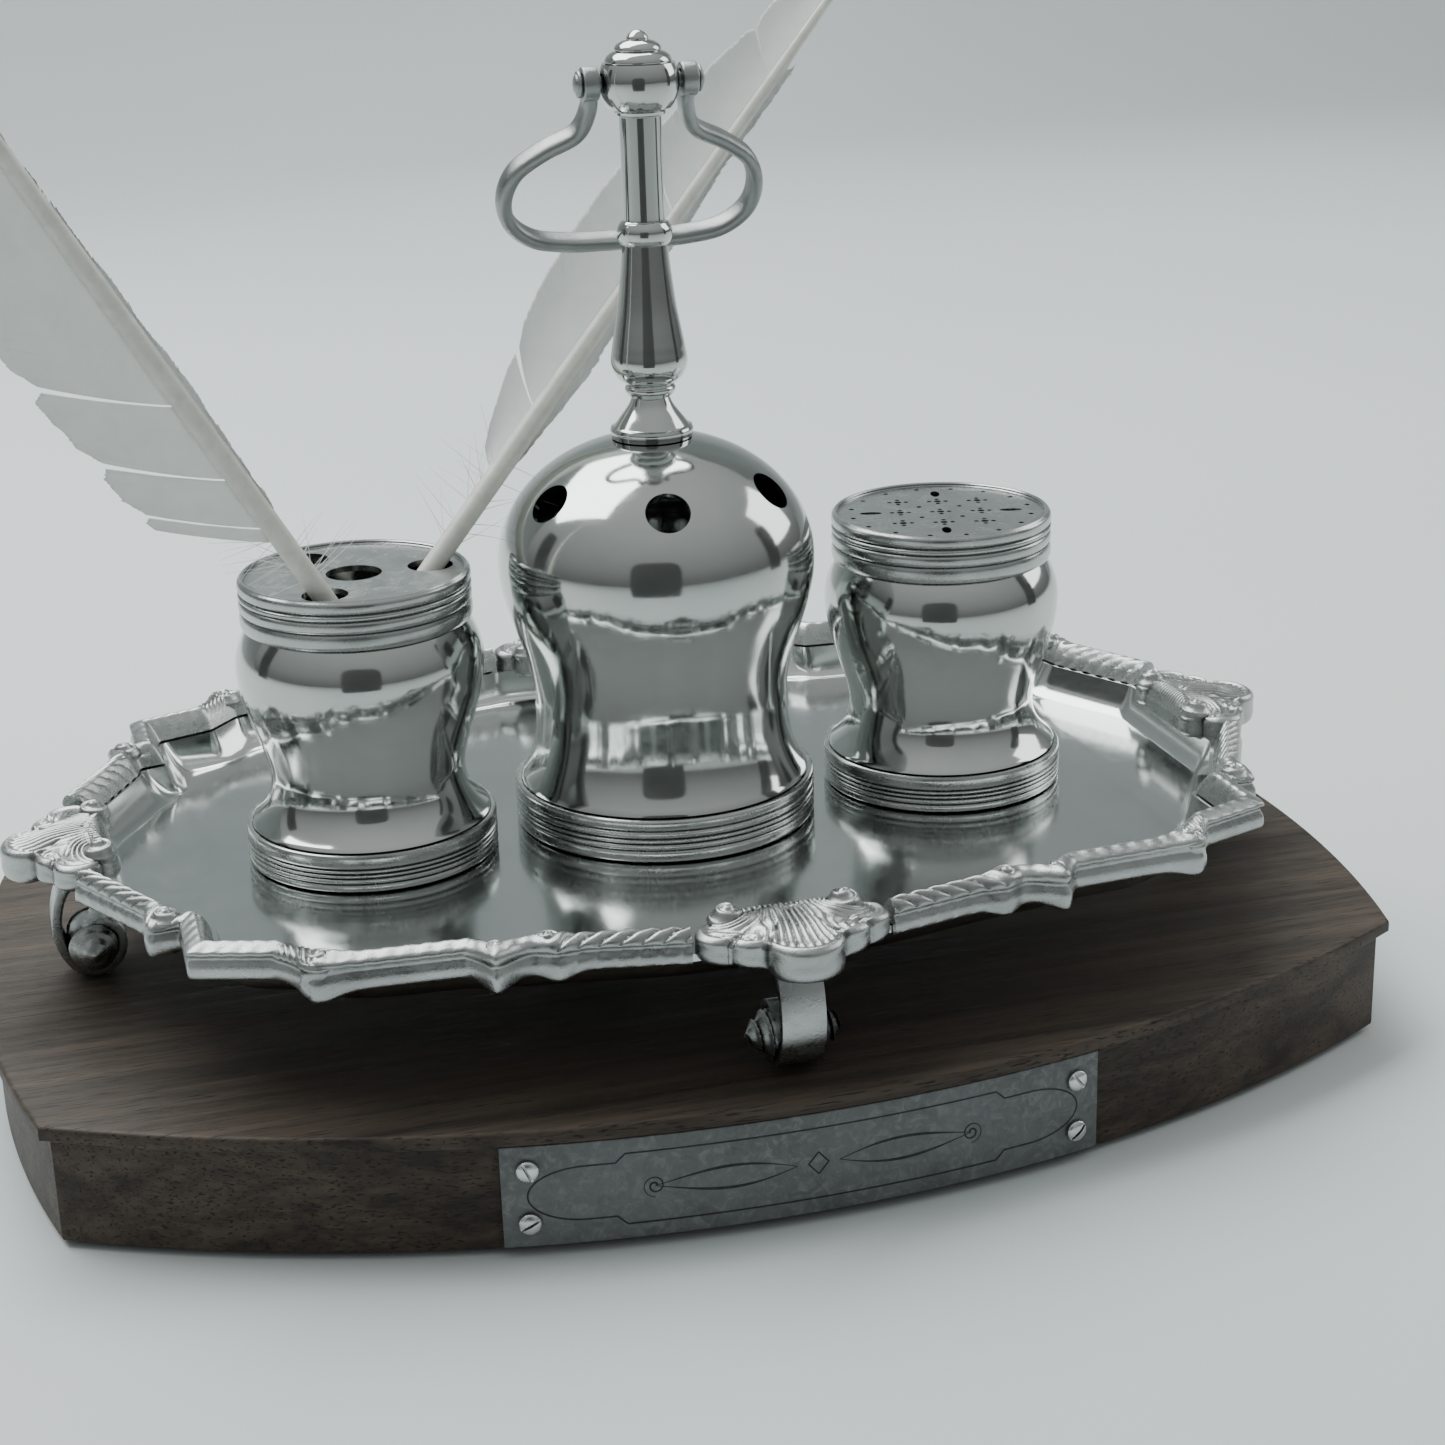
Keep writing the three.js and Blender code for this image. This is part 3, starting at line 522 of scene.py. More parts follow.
@dataclass(frozen=True)
class Pewter:
    """Pewter, from mirror-polished to dull cast.

    Smooth and rough are the ends of its roughness. Grain, pitting and recess are the depths of its scratches and
    pits and how far its hollows darken, in millimetres.
    """

    name: str
    slot: str
    bright: Colour
    dark: Colour
    smooth: float
    rough: float
    grain: float
    pitting: float = 0.0
    recess: float = 0.0

    def build(self) -> bpy.types.Material:
        """Makes the material: cloudy tarnish, fine scratches, pits and dark hollows.

        Returns:
            The material.
        """
        graph = Graph(self.name)
        cloud = graph.noise((55, 55, 70), 5, 0.6, 0.4)
        tone = graph.mix(graph.span(cloud, 0.35, 0.7, 0, 0.35), self.bright, self.dark)
        if self.recess:
            hollow = graph.node("ShaderNodeAmbientOcclusion", samples=6, only_local=True)
            hollow.inputs["Distance"].default_value = self.recess * MM
            tone = graph.mix(graph.span(hollow.outputs["AO"], 0.35, 0.95, 1, 0), tone, self.dark)
        graph.feed("Base Color", tone)
        smear = graph.noise((150, 150, 320), 4, 0.7, 1.2)
        graph.feed("Roughness", graph.span(smear, 0.3, 0.75, self.smooth, self.rough))
        scratches = graph.noise((900, 900, 5200), 3, 0.6, 0.2)
        normal = graph.bump(scratches, self.grain)
        if self.pitting:
            pits = graph.noise((1300, 1300, 1300), 5, 0.75)
            normal = graph.bump(graph.span(pits, 0.3, 0.6, 0, 1), self.pitting, normal)
        graph.feed("Normal", normal)
        graph.set(Metallic=1.0)
        return graph.material


@dataclass(frozen=True)
class Walnut:
    """Oiled walnut with its grain along X and a glue line between two boards."""

    name: str = "walnut"
    slot: str = "walnut"
    light: Colour = (0.085, 0.062, 0.046)
    dark: Colour = (0.02, 0.0138, 0.0102)
    glue_line: float = -18.0

    def build(self) -> bpy.types.Material:
        """Makes the material: growth bands, streaks and open pores.

        Returns:
            The material.
        """
        graph = Graph(self.name)
        bands = graph.noise((4, 95, 110), 5, 0.6, 0.9)
        streaks = graph.noise((14, 620, 620), 4, 0.6, 0.2)
        pores = graph.noise((110, 2600, 2600), 2, 0.5)
        both = graph.math("ADD", graph.math("MULTIPLY", bands, 0.62), graph.math("MULTIPLY", streaks, 0.38))
        middle_tone = tuple((a + b) / 2 for a, b in zip(self.light, self.dark))
        tone = graph.ramp(both, [(0.38, self.dark), (0.5, middle_tone), (0.62, self.light)])
        pore = graph.span(pores, 0.34, 0.42, 1, 0)
        tone = graph.mix(pore, tone, tuple(0.6 * c for c in self.dark))
        split = graph.node("ShaderNodeSeparateXYZ")
        graph.link(graph.node("ShaderNodeTexCoord").outputs["Object"], split.inputs[0])
        away = graph.math("ABSOLUTE", graph.math("SUBTRACT", split.outputs["Y"], self.glue_line * MM), 0)
        tone = graph.mix(graph.span(away, 0.1 * MM, 0.3 * MM, 0.8, 0), tone, (0.006, 0.004, 0.003))
        graph.feed("Base Color", tone)
        graph.feed("Roughness", graph.span(streaks, 0.3, 0.7, 0.46, 0.6))
        relief = graph.bump(streaks, 0.08, graph.bump(pore, -0.05))
        graph.feed("Normal", relief)
        graph.set(Specular_IOR_Level=0.3)
        return graph.material


@dataclass(frozen=True)
class Baize:
    """Wool baize, felted and matt."""

    name: str = "baize"
    slot: str = "baize"

    def build(self) -> bpy.types.Material:
        """Makes the material: short felted fibres.

        Returns:
            The material.
        """
        graph = Graph(self.name)
        fibres = graph.noise((1800, 1800, 1800), 5, 0.8, 2.0)
        graph.feed("Base Color", graph.ramp(fibres, [(0.3, (0.012, 0.03, 0.02)), (0.7, (0.04, 0.09, 0.06))]))
        graph.feed("Normal", graph.bump(fibres, 0.3))
        graph.set(Roughness=0.95, Sheen_Weight=0.4)
        return graph.material


@dataclass(frozen=True)
class Plating:
    """Dull grey plated brass, mottled by handling."""

    name: str = "plate_metal"
    slot: str = "plate_metal"

    def build(self) -> bpy.types.Material:
        """Makes the material: mottled tarnish over fine grain.

        Returns:
            The material.
        """
        graph = Graph(self.name)
        mottle = graph.noise((420, 420, 420), 5, 0.7, 0.8)
        cloud = graph.noise((60, 60, 60), 3, 0.5)
        tone = graph.ramp(mottle, [(0.3, (0.1, 0.105, 0.105)), (0.52, (0.15, 0.157, 0.158)),
                                   (0.72, (0.26, 0.27, 0.27))])
        graph.feed("Base Color", graph.mix(graph.span(cloud, 0.4, 0.7, 0, 0.4), tone, (0.22, 0.23, 0.23)))
        graph.feed("Roughness", graph.span(mottle, 0.3, 0.7, 0.5, 0.68))
        graph.feed("Normal", graph.bump(graph.noise((2600, 2600, 2600), 3, 0.6), 0.04))
        graph.set(Metallic=0.7)
        return graph.material


@dataclass(frozen=True)
class BlackFill:
    """Black wax in an engraved line."""

    name: str = "engraving_black"
    slot: str = "plate_metal"

    def build(self) -> bpy.types.Material:
        """Makes the material: worn black with greyer spots.

        Returns:
            The material.
        """
        graph = Graph(self.name)
        wear = graph.noise((500, 500, 500), 4, 0.6)
        graph.feed("Base Color", graph.ramp(wear, [(0.45, (0.006, 0.006, 0.006)), (0.75, (0.03, 0.03, 0.03))]))
        graph.set(Roughness=0.6)
        return graph.material


@dataclass(frozen=True)
class ClearGlass:
    """Clear glass of the ink liner."""

    name: str = "liner_glass"
    slot: str = "liner_glass"

    def build(self) -> bpy.types.Material:
        """Makes the material: pressed glass with a faint ripple.

        Returns:
            The material.
        """
        graph = Graph(self.name)
        ripple = graph.noise((120, 120, 60), 2, 0.5)
        graph.feed("Normal", graph.bump(ripple, 0.15))
        graph.feed("Base Color", graph.ramp(ripple, [(0.3, (0.8, 0.87, 0.86)), (0.7, (0.88, 0.93, 0.92))]))
        graph.set(Roughness=0.04, Transmission_Weight=1.0, IOR=1.5)
        return graph.material


@dataclass(frozen=True)
class Horn:
    """Horn-like shaft of a feather."""

    name: str = "quill_shaft"
    slot: str = "quill_shaft"

    def build(self) -> bpy.types.Material:
        """Makes the material: waxy, with long pale streaks.

        Returns:
            The material.
        """
        graph = Graph(self.name)
        streaks = graph.noise((260, 260, 260), 4, 0.6, 0.4)
        graph.feed("Base Color", graph.ramp(streaks, [(0.3, (0.6, 0.59, 0.54)), (0.6, (0.7, 0.7, 0.64)),
                                                       (0.8, (0.78, 0.78, 0.73))]))
        graph.feed("Normal", graph.bump(streaks, 0.08))
        graph.set(Roughness=0.42)
        return graph.material


@dataclass(frozen=True)
class Feather:
    """White vane of a feather."""

    name: str = "quill_vane"
    slot: str = "quill_vane"

    def build(self) -> bpy.types.Material:
        """Makes the material: silky white, a little see-through.

        Returns:
            The material.
        """
        graph = Graph(self.name)
        cloud = graph.noise((160, 160, 160), 4, 0.6, 0.5)
        graph.feed("Base Color", graph.ramp(cloud, [(0.3, (0.86, 0.9, 0.88)), (0.7, (0.94, 0.97, 0.95))]))
        graph.feed("Normal", graph.bump(graph.noise((2400, 2400, 2400), 3, 0.6), 0.02))
        graph.set(Roughness=0.6, Sheen_Weight=0.3, Alpha=0.78)
        return graph.material


class Look(Enum):
    """The finishes by name."""

    POLISHED = Pewter("polished_pewter", "polished_pewter", (0.53, 0.55, 0.535), (0.42, 0.44, 0.43),
                      smooth=0.07, rough=0.14, grain=0.0012)
    FLOOR = Pewter("tray_pewter", "satin_pewter", (0.62, 0.64, 0.63), (0.52, 0.54, 0.53),
                   smooth=0.1, rough=0.17, grain=0.002)
    SATIN = Pewter("satin_pewter", "satin_pewter", (0.47, 0.49, 0.48), (0.2, 0.21, 0.205),
                   smooth=0.18, rough=0.33, grain=0.004, pitting=0.006, recess=1.2)
    CAST = Pewter("cast_pewter", "cast_pewter", (0.48, 0.5, 0.49), (0.05, 0.052, 0.052),
                  smooth=0.2, rough=0.4, grain=0.006, pitting=0.025, recess=1.6)
    DULL = Pewter("bail_pewter", "cast_pewter", (0.33, 0.345, 0.34), (0.1, 0.105, 0.105),
                  smooth=0.28, rough=0.45, grain=0.006, pitting=0.03, recess=1.5)
    SCREW = Pewter("screw_metal", "screw_metal", (0.72, 0.73, 0.73), (0.2, 0.2, 0.2),
                   smooth=0.2, rough=0.34, grain=0.008, pitting=0.01, recess=0.8)
    WALNUT = Walnut()
    BAIZE = Baize()
    PLATING = Plating()
    BLACK = BlackFill()
    GLASS = ClearGlass()
    HORN = Horn()
    FEATHER = Feather()

    def material(self) -> bpy.types.Material:
        """The finish's material, made once."""
        return bpy.data.materials.get(f"finish_{self.value.name}") or self.value.build()


# --- Pieces on their bodies ---

def place_piece(name: str, skin: Skin, look: Look, body: str, nodes: Iterable[str] = (), sharp: float = 35,
                cutters: Skin | None = None) -> bpy.types.Object:
    """Makes a piece and puts it on its body.

    Args:
        name: The piece's name.
        skin: Its shape, in place.
        look: Its finish.
        body: The body it moves with.
        nodes: Frame nodes that it stands for.
        sharp: Angle in degrees above which an edge stays sharp.
        cutters: Closed shapes to cut away.

    Returns:
        The piece.
    """
    mesh = skin.mesh(name, sharp)
    piece = bpy.data.objects.new(name, mesh)
    bpy.context.scene.collection.objects.link(piece)
    if cutters is not None:
        cut_away(piece, cutters, sharp)
    piece.data.materials.append(look.material())
    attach(piece, body)
    if nodes:
        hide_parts(*nodes)
    log.info("%s: %d faces on %s", name, len(piece.data.polygons), body)
    return piece


def cut_away(piece: bpy.types.Object, cutters: Skin, sharp: float) -> None:
    """Cuts closed shapes out of a piece.

    Args:
        piece: The piece to cut.
        cutters: The shapes.
        sharp: Angle in degrees above which an edge stays sharp.
    """
    tool = bpy.data.objects.new("cutter", cutters.mesh("cutter", 30))
    bpy.context.scene.collection.objects.link(tool)
    modifier = piece.modifiers.new("cut", "BOOLEAN")
    modifier.operation = "DIFFERENCE"
    modifier.solver = "EXACT"
    modifier.object = tool
    evaluated = piece.evaluated_get(bpy.context.evaluated_depsgraph_get())
    mesh = bpy.data.meshes.new_from_object(evaluated)
    piece.modifiers.clear()
    piece.data = mesh
    bpy.data.objects.remove(tool)
    mesh.shade_smooth()
    mesh.set_sharp_from_angle(angle=math.radians(sharp))


def dress_node(node: str, look: Look) -> None:
    """Gives a frame node that stays in view its finish.

    Args:
        node: The node.
        look: Its finish.
    """
    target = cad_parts[node]
    if target.material_slots:
        for slot in target.material_slots:
            slot.material = look.material()
    else:
        target.data.materials.append(look.material())


# --- Plinth and nameplate ---

@dataclass
class Plinth:
    """Walnut board with four bowed sides and a thin lip round its top."""

    corner_x: float = 133.5
    corner_y: float = 65.5
    front_reach: float = 101.0
    side_reach: float = 142.0
    lip_thickness: float = 2.8
    lip_overhang: float = 2.2
    edge_round: float = 1.1
    foot_round: float = 0.8
    bottom: float = field(default_factory=lambda: low("plinth").z)
    top: float = field(default_factory=lambda: high("plinth").z)

    def __post_init__(self) -> None:
        """Works out the two bows."""
        self.front_radius, self.front_centre = self.bow(self.corner_x, self.front_reach, self.corner_y)
        self.side_radius, self.side_centre = self.bow(self.corner_y, self.side_reach, self.corner_x)

    @staticmethod
    def bow(half: float, reach: float, corner: float) -> tuple[float, float]:
        """Radius and centre of a bowed side.

        Args:
            half: Half the length of the side.
            reach: How far its middle stands out.
            corner: How far its ends stand out.

        Returns:
            The radius and the centre.
        """
        rise = reach - corner
        radius = (half * half + rise * rise) / (2 * rise)
        return radius, reach - radius

    def outline(self, inset: float) -> np.ndarray:
        """The four-bowed outline, moved inwards.

        Args:
            inset: How far inwards.

        Returns:
            Points as (x, y) rows.
        """
        long, short = self.front_radius - inset, self.side_radius - inset
        apart = math.hypot(self.side_centre, self.front_centre)
        along = (long * long - short * short + apart * apart) / (2 * apart)
        off = math.sqrt(long * long - along * along)
        unit = (self.side_centre / apart, -self.front_centre / apart)
        corner = (unit[0] * along + unit[1] * off, self.front_centre + unit[1] * along - unit[0] * off)
        long_half = math.atan2(corner[0], corner[1] - self.front_centre)
        short_half = math.atan2(corner[1], corner[0] - self.side_centre)
        sides = [(self.side_centre, 0, short, 0, short_half, 40), (0, self.front_centre, long, 90, long_half, 90),
                 (-self.side_centre, 0, short, 180, short_half, 40), (0, -self.front_centre, long, 270, long_half, 90)]
        rows = []
        for x, y, radius, facing, half, steps in sides:
            angle = math.radians(facing) + np.linspace(-half, half, steps, endpoint=False)
            rows.append(np.stack([x + radius * np.cos(angle), y + radius * np.sin(angle)], axis=1))
        return np.vstack(rows)

    def section(self) -> np.ndarray:
        """The edge's section as (inset, height) rows, from the underside to the top.

        Returns:
            The rows.
        """
        under = self.top - self.lip_thickness
        line = [(self.lip_overhang + 2, self.bottom), (self.lip_overhang, self.bottom), (self.lip_overhang, under),
                (0, under), (0, self.top), (3, self.top)]
        rounds = {1: self.foot_round, 2: 0.25, 3: 0.35, 4: self.edge_round}
        rows = [line[0]]
        for i in range(1, len(line) - 1):
            corner = filleted(line[i - 1:i + 2], rounds[i], 5)
            rows.extend(corner[1:-1])
        rows.append(line[-1])
        return np.array(rows)

    def build(self) -> None:
        """Makes the plinth and dresses its baize."""
        section = self.section()
        rows = np.array([[(x, y, z) for x, y in self.outline(inset)] for inset, z in section])
        place_piece("plinth_board", closed(rows), Look.WALNUT, "plinth", ["plinth"], 40)
        dress_node("baize_pad", Look.BAIZE)


@dataclass
class Nameplate:
    """Bowed metal plate with an engraved cartouche and four slotted screws. It carries no lettering."""

    plinth: Plinth
    length: float = 114.3
    height: float = 20.0
    thickness: float = 1.2
    screw_inset: float = 4.8
    under_lip: float = 0.4
    line_inset: float = 3.0
    line_width: float = 0.32
    fill_proud: float = 0.03
    fill_depth: float = 0.2
    screw_radius: float = 2.1
    screw_height: float = 1.1
    slot_width: float = 0.55
    slot_turns: tuple[float, ...] = (28.0, -64.0, 40.0, -52.0)

    def __post_init__(self) -> None:
        """Works out where the plate lies on the bowed front."""
        self.inner = self.plinth.front_radius - self.plinth.lip_overhang + GAP
        self.outer = self.inner + self.thickness
        self.top = self.plinth.top - self.plinth.lip_thickness - self.under_lip
        self.middle = self.top - self.height / 2

    def on_face(self, along: np.ndarray, up: np.ndarray, out: np.ndarray | float) -> np.ndarray:
        """Places points on the bowed face.

        Args:
            along: Distance from the middle along the bow.
            up: Height from the plate's middle.
            out: Distance out of the plate's face.

        Returns:
            Points as rows.
        """
        radius = self.outer + np.asarray(out, float)
        angle = np.asarray(along, float) / self.outer
        x, y = radius * np.sin(angle), -self.plinth.front_centre - radius * np.cos(angle)
        return np.stack(np.broadcast_arrays(x, y, self.middle + np.asarray(up, float)), axis=-1)

    def plate(self) -> Skin:
        """The plate, with softened edges.

        Returns:
            The plate.
        """
        half_height, half_length = self.height / 2, self.length / 2
        outline = filleted([(-self.thickness, -half_height), (0, -half_height), (0, half_height),
                            (-self.thickness, half_height)], 0.3, 3, closed=True)
        rows = np.array([self.on_face(s, outline[:, 1], outline[:, 0])
                         for s in np.linspace(-half_length, half_length, 120)])
        return closed(rows)

    def stroke(self, path: np.ndarray, width: float | np.ndarray) -> Skin:
        """A narrow filled line on the plate.

        Args:
            path: Points as (along, up) rows.
            width: The line's width, one for all or one for each point.

        Returns:
            The line's skin.
        """
        direction = np.gradient(path, axis=0)
        direction /= np.linalg.norm(direction, axis=1, keepdims=True)
        normal = np.stack([-direction[:, 1], direction[:, 0]], axis=1) * (np.asarray(width) / 2).reshape(-1, 1)
        left, right = (path + normal).T, (path - normal).T
        proud, sunk = self.fill_proud, -self.fill_depth
        rows = np.stack([self.on_face(*left, proud), self.on_face(*right, proud), self.on_face(*right, sunk),
                         self.on_face(*left, sunk)], axis=1)
        return closed(rows)

    def cartouche(self) -> Skin:
        """The engraved border: a long lozenge with round ends and notched shoulders.

        Returns:
            The border line.
        """
        half_height = self.height / 2 - self.line_inset
        end_height = half_height - 1.7
        end = self.length / 2 - 4.6
        shoulder = end - 16.0
        bow = [(end - 10.5 + 10.5 * math.cos(a), end_height * math.sin(a)) for a in np.linspace(0, math.pi / 2, 20)]
        notch = [(shoulder + 0.3, end_height), (shoulder - 0.2, half_height - 1.2), (shoulder - 1.5, half_height)]
        quarter = bow + notch + [(0.0, half_height)]
        right = [(x, -z) for x, z in reversed(quarter)] + quarter[1:]
        left = [(-x, z) for x, z in reversed(right)]
        path = evenly(np.array(right + left[1:]), 1.0)
        return self.stroke(path, self.line_width)

    def flourish(self) -> Skin:
        """A plain pen flourish in the middle of the cartouche.

        Returns:
            The flourish.
        """
        skin = Skin()
        for side in (-1, 1):
            for up in (-1, 1):
                t = np.linspace(0, 1, 90)
                reach = 4 + 26 * t
                wave = up * 2.6 * np.sin(t * np.pi) * (1 - 0.35 * t)
                swell = 0.14 + 0.42 * np.sin(t * np.pi) ** 2
                skin.add(self.stroke(np.stack([side * reach, wave], axis=1), swell))
            angle = np.linspace(0, 3.4 * np.pi, 90)
            size = 2.2 * (1 - angle / (4.2 * np.pi))
            spiral = np.stack([side * (30 + size * np.sin(angle)), -size * np.cos(angle)], axis=1)
            skin.add(self.stroke(spiral, 0.14 + 0.3 * np.linspace(0, 1, 90)))
        lozenge = np.array([(0, -2.2), (1.9, 0), (0, 2.2), (-1.9, 0), (0, -2.2)])
        return skin.add(self.stroke(evenly(lozenge, 0.3), 0.3))

    def screw(self, slot_turn: float) -> tuple[Skin, Skin]:
        """A domed screw head along +Z and the cutter of its slot.

        Args:
            slot_turn: Turn of the slot in degrees.

        Returns:
            The head and the cutter.
        """
        radius, rise = self.screw_radius, self.screw_height
        dome = [(0, -0.8), (0.9, -0.8), (0.9, 0.05), (radius - 0.1, 0.05), (radius, 0.2)]
        dome += [(radius * math.cos(a), 0.2 + (rise - 0.2) * math.sin(a)) for a in np.linspace(0.1, math.pi / 2, 12)]
        bar = filleted([(-3, -self.slot_width / 2), (3, -self.slot_width / 2), (3, self.slot_width / 2),
                        (-3, self.slot_width / 2)], 0.05, 1, closed=True)
        rows = np.array([[(x, y, z) for x, y in bar] for z in (rise - 0.6, rise + 1)])
        return lathe(dome, 48), closed(rows).moved(turn(slot_turn))

    def build(self) -> None:
        """Makes the plate, its engraving and its screws."""
        place_piece("nameplate_plate", self.plate(), Look.PLATING, "plinth", ["nameplate"], 40)
        place_piece("nameplate_border_line", self.cartouche(), Look.BLACK, "plinth")
        place_piece("nameplate_flourish", self.flourish(), Look.BLACK, "plinth")
        half = self.length / 2 - self.screw_inset
        rise = self.height / 2 - self.screw_inset
        corners = {"lower_left": (-half, -rise), "upper_left": (-half, rise),
                   "lower_right": (half, -rise), "upper_right": (half, rise)}
        for (place, (along, up)), slot_turn in zip(corners.items(), self.slot_turns):
            angle = math.degrees(along / self.outer)
            spot = self.on_face(along, up, GAP)
            move = at(*spot) @ turn(angle) @ turn(90, "X")
            head, slot = self.screw(slot_turn)
            place_piece(f"screw_head_{place}", head.moved(move), Look.SCREW, "plinth",
                        [f"nameplate_screw_{place}"], 35, slot.moved(move))


# --- Tray ---

QUARTERS = {"back_right": (1, 1), "back_left": (-1, 1), "front_left": (-1, -1), "front_right": (1, -1)}
SIDES = {"back": 0, "left": 90, "front": 180, "right": 270}


def fourfold(quarter: np.ndarray) -> np.ndarray:
    """Four mirrored copies of a quarter outline, anticlockwise."""
    back = quarter[::-1]
    return np.vstack([quarter, back * (-1, 1), quarter * (-1, -1), back * (1, -1)])


def mitres(outline: np.ndarray) -> np.ndarray:
    """Shift of each corner of an anticlockwise outline for one millimetre inwards.

    Args:
        outline: The outline, as (x, y) rows.

    Returns:
        The shifts, as rows.
    """
    before = outline - np.roll(outline, 1, axis=0)
    after = np.roll(outline, -1, axis=0) - outline
    u = before / np.linalg.norm(before, axis=1, keepdims=True)
    v = after / np.linalg.norm(after, axis=1, keepdims=True)
    reach = 1 / (1 + (u * v).sum(axis=1, keepdims=True))
    return reach * np.stack([-(u[:, 1] + v[:, 1]), u[:, 0] + v[:, 0]], axis=1)


def curl(radius: float, bottom: float, top: float, hand: int, dome: float = 1.6, ridge: float = 0.5) -> Skin:
    """A round boss with a curled ridge on its domed top, about +Z.

    Args:
        radius: The boss's radius.
        bottom: Its lowest point.
        top: Its highest point.
        hand: 1 or -1, the way that the ridge winds.
        dome: How far the top falls to its edge.
        ridge: Height of the curled ridge.

    Returns:
        The boss.
    """
    angle = np.linspace(0, 2 * np.pi, 72, endpoint=False)
    rows = []
    for share in np.linspace(0, 1, 30):
        winding = share * 2.0 - hand * angle / (2 * np.pi)
        wave = (0.5 + 0.5 * np.cos(2 * np.pi * winding)) ** 1.4
        fade = between(share, 0.1, 0.3, 0.85, 1.0)
        bead = 0.5 * math.exp(-(share / 0.2) ** 2)
        z = top - 0.5 - dome * share ** 2.2 + ridge * wave * fade + bead
        rows.append(ring(radius * share, angle, z))
    deep = top - 0.6 - dome - bottom
    wall = [(1.0, bottom + 0.98 * deep), (0.9, bottom + 0.82 * deep), (0.94, bottom + 0.6 * deep),
            (1.0, bottom + 0.38 * deep), (0.95, bottom + 0.18 * deep), (0.72, bottom + 0.04 * deep), (0.4, bottom)]
    rows.extend(ring(radius * share, angle, z) for share, z in spline(wall, 4))
    return Skin().grid(np.array(rows), around=True).lid(rows[-1])


